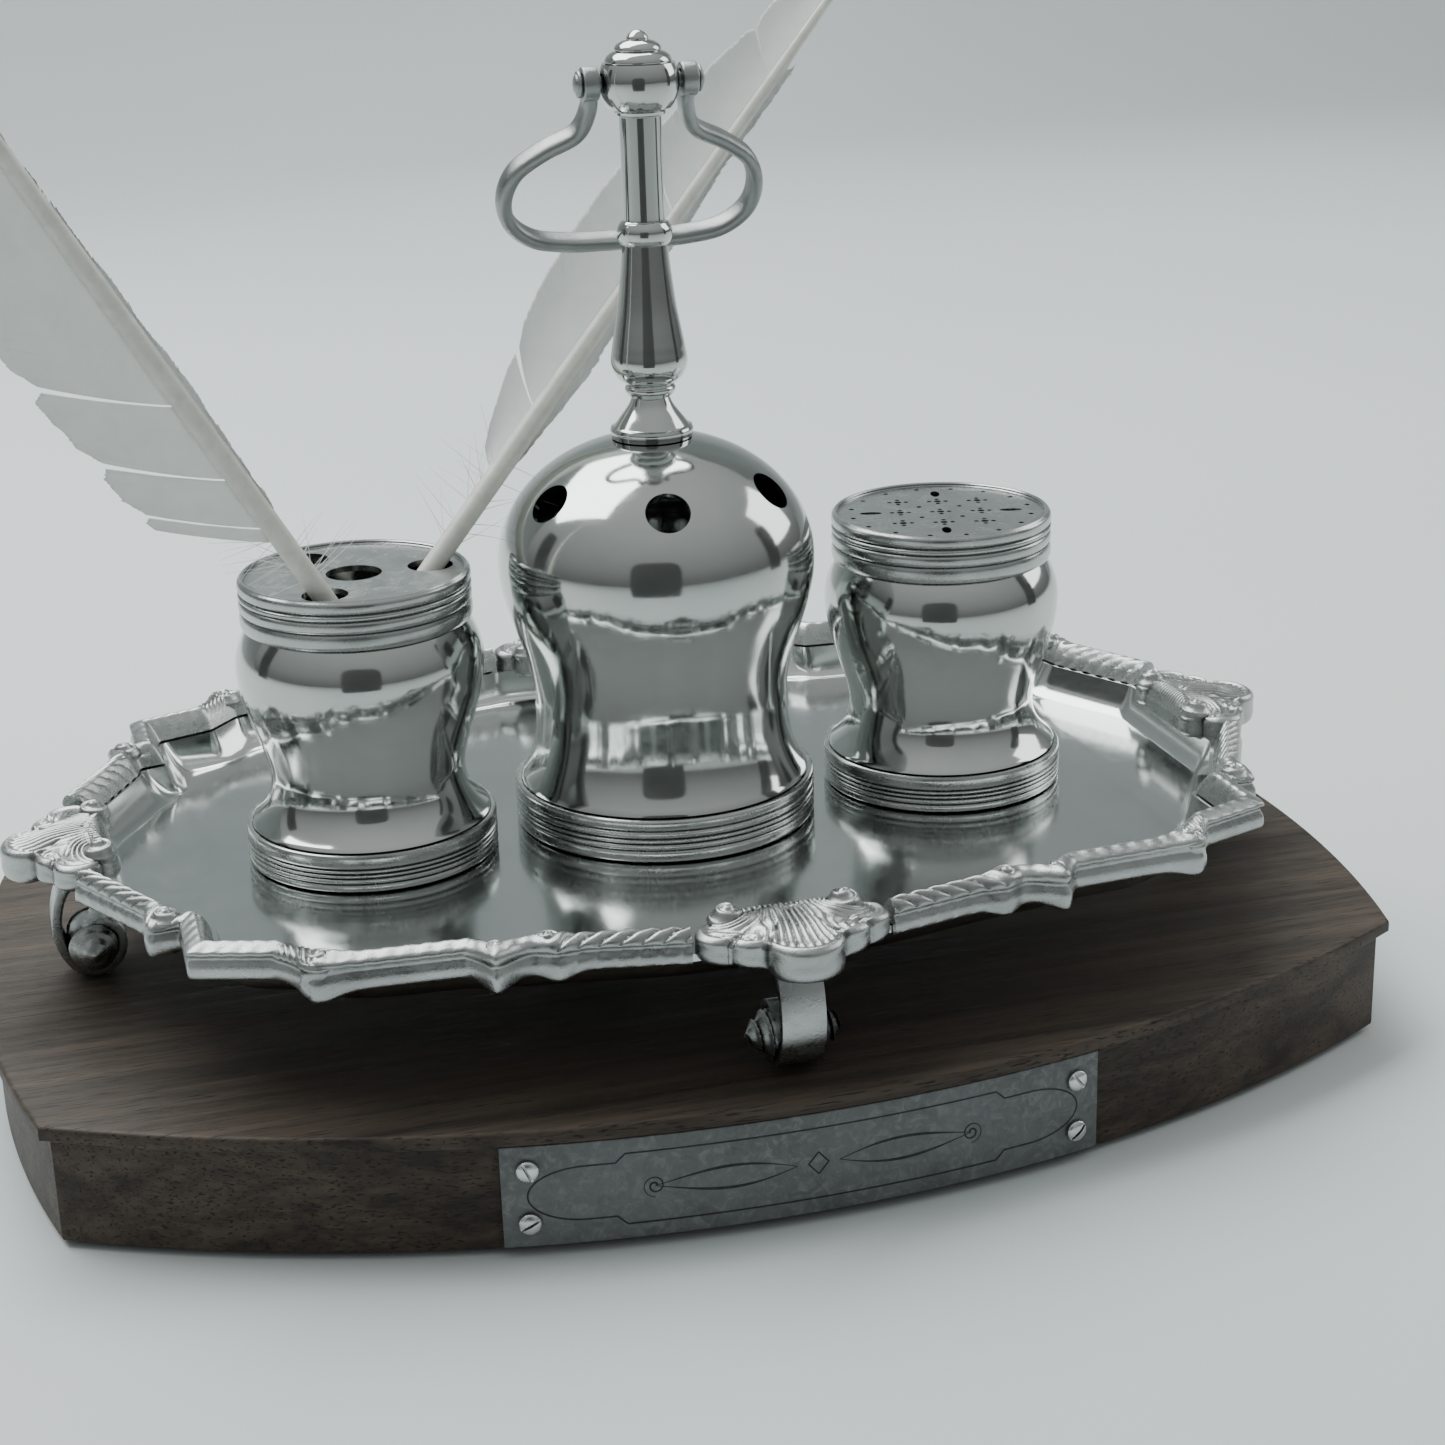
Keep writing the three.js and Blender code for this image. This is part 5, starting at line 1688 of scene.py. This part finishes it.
@dataclass
class QuillHolder:
    """Bell-shaped holder with six pen holes, a turned stem, a ball finial and a swinging loop handle."""

    foot_radius: float = 31.1
    foot_height: float = 9.2
    foot_wall: float = 3.6
    ankle_radius: float = 30.0
    skirt_radius: float = 27.0
    waist: tuple[float, float] = (26.0, 27.0)
    shoulder: tuple[float, float] = (32.1, 55.0)
    dome_height: float = 25.5
    wall: float = 1.4
    holes: int = 6
    hole_radius: float = 4.4
    hole_out: float = 25.4
    hole_turn: float = -98.7
    rod_radius: float = 2.4
    ball_radius: float = 7.7
    ball_height: float = 6.6
    bail_turn: float = 24.0
    bail_thick: float = 3.0
    bail_wide: float = 5.0
    eye_radius: float = 3.3
    eye_thickness: float = 3.2
    bail_line: tuple[tuple[float, float], ...] = (
        (9.75, 0), (9.75, 5.4), (11.9, 10.4), (18.2, 13.9), (23.5, 18.1), (25.5, 23.8), (24.2, 29.4), (19.2, 33.5),
        (11.8, 34.9), (5.2, 35.1))
    floor: float = field(default_factory=lambda: low("holder_foot_ring").z - GAP)

    def __post_init__(self) -> None:
        """Works out the levels over the tray's floor."""
        self.dome_top = self.shoulder[1] + self.dome_height
        self.stem_top = low("finial").z - GAP - self.floor
        self.pivot = self.stem_top + self.ball_height
        self.move = at(0, 0, self.floor)

    def foot_ring(self) -> Skin:
        """The reeded foot ring.

        Returns:
            The ring.
        """
        inner = max(self.skirt_radius + GAP, self.foot_radius - self.foot_wall)
        outside = reeds(self.foot_radius, GAP, self.foot_height, (0.28, 0.16, 0.12, 0.18, 0.26))
        return lathe([(inner, GAP), *outside, (inner, self.foot_height), (inner, GAP)], 192)

    def shell(self) -> Skin:
        """The bell, hollow, before its holes.

        Returns:
            The bell.
        """
        start = (self.ankle_radius, self.foot_height + GAP)
        side = [start, *flow(start, self.waist, 30, lambda t: 1 - (1 - t) ** 3.3),
                *flow(self.waist, self.shoulder, 36, lambda t: math.sin(t * math.pi / 2) ** 1.85)]
        dome = lambda radius, height, least: [
            (max(radius * math.cos(a), least), self.shoulder[1] + height * math.sin(a))
            for a in np.linspace(0, math.pi / 2, 33)[1:]]
        inner_side = [(r - self.wall, z) for r, z in side if z > start[1] + self.wall]
        inner_dome = dome(self.shoulder[0] - self.wall, self.dome_height - self.wall, self.rod_radius)
        skirt = self.skirt_radius - self.wall
        inside = [(skirt, 2 * GAP), (skirt, start[1] + self.wall), *inner_side, *inner_dome]
        outside = [(self.skirt_radius, 2 * GAP), (self.skirt_radius, start[1] - 0.05), (start[0] - 0.2, start[1]),
                   *side[1:], *dome(*self.shoulder[:1], self.dome_height, self.rod_radius)]
        line = [*outside, *reversed(inside), outside[0]]
        return lathe(line, 224)

    def pen_holes(self) -> Skin:
        """Cutters square to the dome.

        Returns:
            The cutters.
        """
        share = self.hole_out / self.shoulder[0]
        height = self.shoulder[1] + self.dome_height * math.sqrt(1 - share * share)
        lean = math.atan2(share / self.shoulder[0], (height - self.shoulder[1]) / self.dome_height ** 2)
        skin = Skin()
        for k in range(self.holes):
            pen = lathe([(0, -6), (self.hole_radius, -6), (self.hole_radius, 6), (0, 6)], 72)
            spin = turn(self.hole_turn + 360 * k / self.holes)
            skin.add(pen, spin @ at(self.hole_out, 0, height) @ turn(math.degrees(lean), "Y"))
        return skin

    def stem(self) -> Skin:
        """The turned stem: a spread foot, a round knop, a long taper and a collar.

        Returns:
            The stem.
        """
        foot = spline([(8.3, 0.3), (8.35, 0.9), (8.1, 1.5)], 5)
        rise = spline([(7.5, 1.7), (6.4, 3.2), (4.6, 5.6), (3.8, 7.4)], 8)
        lower = spline([(4.3, 7.6), (5.0, 8.6), (5.0, 9.4), (4.4, 10.1)], 5)
        knop = spline([(5.2, 10.3), (6.7, 11.8), (7.6, 14.3), (7.3, 17.2), (6.8, 20.0), (5.9, 25.0), (5.1, 31.3),
                       (4.45, 37.5)], 8)
        collar = spline([(4.9, 37.8), (5.4, 39.0), (5.4, 40.6), (4.7, 41.9)], 6)
        upper = spline([(4.15, 42.2), (4.1, 43.2), (4.05, 52.0), (4.1, self.stem_top - self.dome_top)], 6)
        underside = [(0, 0.3), (2.6, 0.25), (5.5, -0.15), (8.1, -0.62)]
        line = np.vstack([underside, foot, rise, lower, knop, collar, upper, [(0, upper[-1][1])]])
        return lathe(line, 96).moved(at(0, 0, self.dome_top))

    def finial(self) -> Skin:
        """The ball with its stepped cap and pointed tip.

        Returns:
            The finial.
        """
        radius = self.ball_radius + 0.15
        start = math.asin((1.6 - self.ball_height) / radius)
        end = math.asin((10.1 - self.ball_height) / radius)
        ball = [(radius * math.cos(a), self.ball_height + radius * math.sin(a)) for a in np.linspace(start, end, 40)]
        cap = [(6.45, 10.15), (6.5, 10.5), (6.2, 11.2), (5.6, 11.8), (4.7, 12.25), (4.35, 12.3), (4.5, 12.45),
               (4.55, 12.75), (4.2, 13.4), (3.4, 13.95), (2.5, 14.3), (2.1, 14.35), (2.15, 14.5), (2.05, 14.9),
               (1.6, 15.5), (0.9, 16.0), (0.35, 16.18)]
        line = [(0, 0.3), (4.4, 0.3), (4.9, 0.5), (5.0, 1.0), (4.6, 1.4), *ball, (6.2, 10.0),
                *spline(cap, 3).tolist(), (0, 16.2)]
        return lathe(line, 112).moved(at(0, 0, self.stem_top))

    def bail(self) -> Skin:
        """The loop handle with its two eyes, hanging straight down from the pivot.

        Returns:
            The handle.
        """
        half = [(x, 0, -drop) for x, drop in self.bail_line]
        line = spline([*half, *[(-x, 0, z) for x, _, z in reversed(half)]], 10)
        section = ring_section(self.bail_wide, self.bail_thick, 20, 2.9)
        skin = swept(line, section, np.array([0.0, 1, 0]))
        eye_at = self.bail_line[0][0]
        half_eye = self.eye_thickness / 2
        disc = filleted([(2.0, -half_eye), (self.eye_radius, -half_eye), (self.eye_radius, half_eye),
                         (2.0, half_eye)], 0.5, 4, closed=True)
        eye = lathe([*disc, disc[0]], 56)
        for side in (-1, 1):
            skin.add(eye, at(side * eye_at) @ turn(90, "Y"))
        return skin

    def pin(self) -> Skin:
        """A rivet that holds one eye, along +Z from the ball's middle.

        Returns:
            The rivet.
        """
        head_at = self.bail_line[0][0] + self.eye_thickness / 2 + GAP
        head = [(0, 3.5), (1.5, 3.5), (1.5, head_at), (2.5, head_at), (2.6, head_at + 0.2), (2.5, head_at + 0.5),
                (2.0, head_at + 0.6)]
        head += [(1.9 * math.cos(a), head_at + 0.65 + 0.6 * math.sin(a)) for a in np.linspace(0.15, math.pi / 2, 10)]
        return lathe(head, 48)

    def build(self) -> None:
        """Makes the holder."""
        move = self.move
        body = "quill_holder"
        place_piece("holder_reeded_foot", self.foot_ring().moved(move), Look.SATIN, body, ["holder_foot_ring"], 28)
        place_piece("holder_bell", self.shell().moved(move), Look.POLISHED, body, ["holder_shell"], 30,
                    self.pen_holes().moved(move))
        place_piece("holder_stem", self.stem().moved(move), Look.POLISHED, body, ["stem"], 38)
        place_piece("holder_finial", self.finial().moved(move), Look.POLISHED, body, ["finial"], 38)
        at_pivot = move @ at(0, 0, self.pivot)
        for name, side in (("left", -1), ("right", 1)):
            place_piece(f"bail_pin_{name}", self.pin().moved(at_pivot @ turn(90 * side, "Y")), Look.DULL, body,
                        [f"pivot_pin_{name}"])
        place_piece("bail_loop", self.bail().moved(at_pivot @ turn(self.bail_turn, "X")), Look.DULL, "bail",
                    ["bail"], 40)
        for node in ("holder_base", "stem_rod", "stem_nut"):
            dress_node(node, Look.SATIN)


# --- Quills ---

@dataclass
class Quill:
    """A white quill that stands in a hole of the inkwell's lid, its wide vane to one side.

    Its spot is where its middle line crosses the lid, from the lid's middle. The widths of its vane are spread
    evenly from the vane's start to its tip, and the splits are where it parts.
    """

    name: str
    spot: tuple[float, float]
    up: tuple[float, float, float]
    vane: tuple[float, float, float]
    inside: float
    outside: float
    vane_start: float
    widths: tuple[float, ...]
    splits: tuple[float, ...]
    seed: int
    lean: float = 48.0
    barrel: float = 2.1
    tip: float = 0.6
    barbs_apart: float = 0.24
    down_barbs: int = 26
    inkwell: Vessel = field(default_factory=lambda: Vessel("inkwell"))

    def __post_init__(self) -> None:
        """Finds the quill's own axes: its vane's side, across it and along it."""
        along = Vector(self.up).normalized()
        side = Vector(self.vane)
        side = (side - along * side.dot(along)).normalized()
        across = along.cross(side)
        basis = Matrix((side, across, along)).transposed().to_4x4()
        self.move = self.inkwell.move @ at(*self.spot, self.inkwell.seat_top) @ basis
        self.random = np.random.default_rng(self.seed)

    def radius(self, along: np.ndarray) -> np.ndarray:
        """The shaft's radius at heights along it."""
        return np.interp(along, [-self.inside, 8 - self.inside, 0.2 * self.outside, 0.65 * self.outside, self.outside],
                         [0.5, self.barrel, self.barrel, 0.5 * (self.barrel + self.tip), self.tip * 0.7])

    def shaft(self) -> Skin:
        """The shaft: a round barrel that becomes a square-backed grooved rib above the vane's start.

        Returns:
            The shaft.
        """
        angle = np.linspace(0, 2 * np.pi, 28, endpoint=False)
        rows = []
        for z in np.linspace(-self.inside, self.outside, 150):
            radius = float(self.radius(np.array(z)))
            square = float(ease(z, self.vane_start - 8, self.vane_start + 12))
            power = 2 + 1.4 * square
            shape = (np.abs(np.cos(angle)) ** power + np.abs(np.sin(angle)) ** power) ** (-1 / power)
            groove = 1 - 0.22 * square * np.exp(-((np.sin(angle) + 1) / 0.12) ** 2)
            size = radius * np.minimum(shape * groove, 1.0 + 0.05 * square)
            rows.append(ring(size, angle, z))
        rows = np.array(rows)
        return closed(rows)

    def lock(self, start: float, end: float, side: int, widths: np.ndarray) -> Skin:
        """One lock of joined barbs on one side of the shaft.

        Args:
            start: Where its first barb leaves the shaft.
            end: Where its last barb leaves the shaft.
            side: 1 for the wide vane and -1 for the narrow one.
            widths: How far out the vane reaches along the shaft, as (height, width) rows.

        Returns:
            The lock, with two faces and a thin edge.
        """
        roots = np.arange(start, end, self.barbs_apart)
        shares = np.linspace(0, 1, 20)
        lean = math.radians(self.lean if side > 0 else self.lean * 0.45)
        curl_in = self.random.uniform(-0.6, 0.6)
        ragged = np.cumsum(self.random.normal(0, 0.05, len(roots)))
        ragged -= np.linspace(0, ragged[-1], len(roots))
        fine = self.random.normal(0, 0.08, len(roots))
        into = (roots - start) / max(end - start, 1e-6)
        pinch = np.minimum(into, 1 - into) * (end - start)
        rows = []
        for k, z in enumerate(roots):
            guess = np.interp(z, *widths.T)
            width = np.interp(z + guess / math.tan(lean), *widths.T)
            width += ragged[k] + fine[k]
            width *= 0.9 + 0.1 * min(1.0, pinch[k] / 3.0)
            reach = shares * width
            rise = reach / math.tan(lean) * (0.82 + 0.18 * shares)
            toward = (into[k] - 0.5) * shares ** 2 * min(1.0, (end - start) / 20)
            x = side * (self.radius(np.array(z)) * 0.85 + reach)
            bow = 0.9 * np.sin(shares * np.pi * 0.9) * (1 - 0.3 * side) + curl_in * shares ** 2
            ripple = 0.05 * (-1) ** k
            rows.append(np.stack([x, -bow + ripple, z + rise - toward], axis=1))
        top = np.array(rows)
        under = top + np.array([0, 0.14, 0])
        ring = np.concatenate([top, under[:, ::-1]], axis=1)
        return Skin().grid(ring, around=True).lid(ring[0]).lid(ring[-1])

    def feather(self) -> Skin:
        """The whole vane: locks with splits between them, and down near the lid.

        Returns:
            The vane.
        """
        end = self.outside - 6.0
        heights = np.linspace(self.vane_start, end, len(self.widths))
        wide = np.stack([heights, self.widths], axis=1)
        ends = [self.vane_start, *self.splits, end - self.widths[-1] / math.tan(math.radians(self.lean)) - 2.5]
        skin = Skin()
        for start, stop in zip(ends, ends[1:]):
            skin.add(self.lock(start + 0.15, stop - 0.15, 1, wide))
        narrow = np.array([(self.vane_start, 0.3), (self.vane_start + 25, 1.5), (0.6 * self.outside, 1.6),
                           (self.outside - 8, 0.6), (self.outside, 0.3)])
        skin.add(self.lock(self.vane_start + 4, 0.7 * self.outside, -1, narrow))
        return skin

    def down(self) -> Skin:
        """Loose downy barbs at the foot of the vane.

        Returns:
            The barbs.
        """
        skin = Skin()
        for _ in range(self.down_barbs):
            root = self.random.uniform(5.0, self.vane_start + 3)
            length = self.random.uniform(5, 13)
            sweep = math.radians(self.random.uniform(20, 95))
            lift = self.random.uniform(-0.5, 0.5)
            side = 1 if self.random.random() < 0.8 else -1
            t = np.linspace(0, 1, 12)
            reach = length * t
            bend = self.random.uniform(-0.5, 0.5)
            x = side * (1.7 + reach * math.sin(sweep))
            z = root + reach * math.cos(sweep) + bend * 3 * t ** 2
            y = lift * reach + self.random.uniform(-1, 1) * t ** 2
            line = np.stack([x, y, z], axis=1)
            skin.add(swept(line, ring_section(0.16, 0.16, 5), np.array([0.3, 1.0, 0.2]), 1 - 0.75 * t))
        return skin

    def build(self) -> None:
        """Makes the quill."""
        body = f"quill_{self.name}"
        place_piece(f"{body}_rib", self.shaft().moved(self.move), Look.HORN, body, [f"{body}_shaft"], 50)
        place_piece(f"{body}_feather", self.feather().moved(self.move), Look.FEATHER, body, [f"{body}_vane"], 180)
        place_piece(f"{body}_down", self.down().moved(self.move), Look.FEATHER, body, (), 180)


# --- Floor, light and camera ---

@dataclass
class Studio:
    """Pale sweep, soft lights, dark cards for the metal to mirror, and the camera.

    The camera's place is in millimetres, its turns are in radians, and the sweep's sizes are in metres.
    """

    camera_at: tuple[float, float, float] = (-128.3, -498.3, 243.3)
    camera_yaw: float = 0.2761
    camera_pitch: float = 0.3382
    camera_roll: float = -0.0293
    lens: float = 65.47
    floor_colour: Colour = (0.7, 0.735, 0.73)
    wall_colour: Colour = (0.62, 0.66, 0.66)
    sky_stops: tuple[tuple[float, float], ...] = ((0.0, 0.12), (0.48, 0.2), (0.62, 0.42), (1.0, 0.8))
    reach: float = 3.0
    wall: float = 2.0
    wall_height: float = 2.6
    bend: float = 0.6

    def sweep(self) -> None:
        """Makes the floor and the wall behind it as one bent sheet."""
        bend, wall = self.bend, self.wall
        line = [(-self.reach, 0.0), (wall - bend, 0.0)]
        line += [(wall - bend + bend * math.sin(a), bend - bend * math.cos(a)) for a in np.linspace(0.05, 1.52, 24)]
        line += [(wall, bend), (wall, self.wall_height)]
        rows = np.array([[(x, y, z) for x in (-self.reach, self.reach)] for y, z in line]) / MM
        sheet = bpy.data.objects.new("sweep", Skin().grid(rows).mesh("sweep", 180))
        bpy.context.scene.collection.objects.link(sheet)
        graph = Graph("sweep_paper")
        cloud = graph.noise((1.5, 1.5, 1.5), 2, 0.5)
        graph.feed("Base Color", graph.ramp(cloud, [(0.3, self.floor_colour), (0.7, self.wall_colour)]))
        graph.feed("Normal", graph.bump(graph.noise((900, 900, 900), 3, 0.6), 0.02))
        graph.set(Roughness=0.6)
        sheet.data.materials.append(graph.material)

    def lamp(self, name: str, spot: tuple[float, float, float], aim: tuple[float, float, float],
             size: tuple[float, float], power: float, tint: Colour) -> None:
        """Adds a soft light.

        Args:
            name: Its name.
            spot: Where it is, in metres.
            aim: What it points at.
            size: Its width and height.
            power: Its power in watts.
            tint: Its colour.
        """
        data = bpy.data.lights.new(name, "AREA")
        data.shape = "RECTANGLE"
        data.size, data.size_y = size
        data.energy = power
        data.color = tint
        lamp = bpy.data.objects.new(name, data)
        lamp.location = spot
        lamp.rotation_euler = (Vector(aim) - Vector(spot)).to_track_quat("-Z", "Y").to_euler()
        bpy.context.scene.collection.objects.link(lamp)

    def card(self, name: str, spot: tuple[float, float, float], size: tuple[float, float], shade: float) -> None:
        """Adds a rounded card that only mirrors show.

        Args:
            name: Its name.
            spot: Where it is, in metres.
            size: Its width and height.
            shade: How light it is.
        """
        outline = ring_section(size[0] / MM, size[1] / MM, 48, 5.0)
        facing = (Vector((0, 0, 0.09)) - Vector(spot)).to_track_quat("-Z", "Y").to_matrix().to_4x4()
        skin = Skin().lid(np.array([(x, y, 0) for x, y in outline])).moved(at(*(c / MM for c in spot)) @ facing)
        card = bpy.data.objects.new(name, skin.mesh(name, 180))
        bpy.context.scene.collection.objects.link(card)
        graph = Graph(name)
        tone = graph.ramp(graph.noise((4, 4, 4)), [(0.3, (shade,) * 3), (0.7, (shade * 1.3,) * 3)])
        graph.feed("Base Color", tone)
        graph.set(Roughness=0.8)
        card.data.materials.append(graph.material)
        card.visible_camera = False
        card.visible_diffuse = False
        card.visible_shadow = False

    def sky(self) -> None:
        """Lights the scene all round: bright above, darker towards the horizon and below."""
        world = bpy.data.worlds.new("studio")
        world.use_nodes = True
        tree = world.node_tree
        tree.nodes.clear()
        new = tree.nodes.new
        coordinates, split = new("ShaderNodeTexCoord"), new("ShaderNodeSeparateXYZ")
        tree.links.new(coordinates.outputs["Generated"], split.inputs[0])
        ramp = new("ShaderNodeValToRGB")
        set_stops(ramp, [(where, (value * 0.96, value, value * 0.995)) for where, value in self.sky_stops])
        lift = new("ShaderNodeMapRange")
        lift.inputs["From Min"].default_value = -1
        tree.links.new(split.outputs["Z"], lift.inputs["Value"])
        tree.links.new(lift.outputs["Result"], ramp.inputs[0])
        pale = new("ShaderNodeMix")
        pale.data_type = "RGBA"
        pale.inputs[7].default_value = (0.75, 0.8, 0.8, 1)
        path = new("ShaderNodeLightPath")
        tree.links.new(path.outputs["Is Camera Ray"], pale.inputs[0])
        tree.links.new(ramp.outputs[0], pale.inputs[6])
        background, output = new("ShaderNodeBackground"), new("ShaderNodeOutputWorld")
        background.inputs["Strength"].default_value = 0.8
        tree.links.new(pale.outputs[2], background.inputs[0])
        tree.links.new(background.outputs[0], output.inputs[0])
        bpy.context.scene.world = world

    def camera(self) -> None:
        """Makes the camera."""
        yaw, pitch, roll = self.camera_yaw, self.camera_pitch, self.camera_roll
        forward = Vector((math.sin(yaw) * math.cos(pitch), math.cos(yaw) * math.cos(pitch), -math.sin(pitch)))
        right = Vector((math.cos(yaw), -math.sin(yaw), 0))
        up = right.cross(forward)
        right, up = (math.cos(roll) * right + math.sin(roll) * up, math.cos(roll) * up - math.sin(roll) * right)
        data = bpy.data.cameras.new("camera")
        data.lens = self.lens
        data.sensor_width = 36.0
        data.clip_start, data.clip_end = 0.01, 20
        camera = bpy.data.objects.new("camera", data)
        rotation = Matrix((right, up, -forward)).transposed().to_4x4()
        camera.matrix_world = Matrix.Translation(Vector(self.camera_at) * MM) @ rotation
        bpy.context.scene.collection.objects.link(camera)
        bpy.context.scene.camera = camera

    def build(self) -> None:
        """Makes the studio."""
        self.camera()
        self.sweep()
        self.lamp("overhead", (-0.3, 0.6, 1.2), (0, 0.1, 0.0), (1.6, 0.9), power=30.0, tint=(0.96, 1.0, 1.0))
        self.lamp("side", (1.5, 0.2, 0.8), (0, 0, 0.1), (0.8, 0.9), power=7.0, tint=(0.97, 1.0, 1.0))
        self.card("card_front", (-0.12, -0.44, 0.13), (0.29, 0.33), shade=0.05)
        self.card("card_left", (-0.93, 0.27, 0.25), (0.2, 0.7), shade=0.05)
        self.card("card_right", (0.95, -0.2, 0.25), (0.2, 0.7), shade=0.05)
        self.sky()


def main() -> None:
    """Builds the inkstand and its studio, logging the face count of each piece."""
    logging.basicConfig(level=logging.INFO, format="%(message)s", stream=sys.stdout)
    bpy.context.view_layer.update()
    Studio().build()
    plinth = Plinth()
    plinth.build()
    Nameplate(plinth).build()
    Tray(plinth).build()
    inkwell = Vessel("inkwell")
    inkwell.build("inkwell_lid")
    inkwell.build_liner()
    Vessel("sander").build("sander_lid")
    QuillHolder().build()
    Quill("left", (-7.6, -13.0), up=(-0.573, 0, 1), vane=(-1, 0, 0), inside=20, outside=210, vane_start=15,
          widths=(20, 17.5, 19.5, 20.5, 18, 14, 11, 9, 7, 4), splits=(18.5, 30.0, 47.0, 112.0), seed=11).build()
    Quill("right", (15.2, 0.2), up=(0.998, 0.49, 1), vane=(-1, 0.55, 0.73), inside=26, outside=190, vane_start=24,
          widths=(3, 9, 13, 14, 14, 12, 10, 8, 6, 3), splits=(40.0, 92.0, 130.0), seed=5).build()


if __name__ == "__main__":
    main()
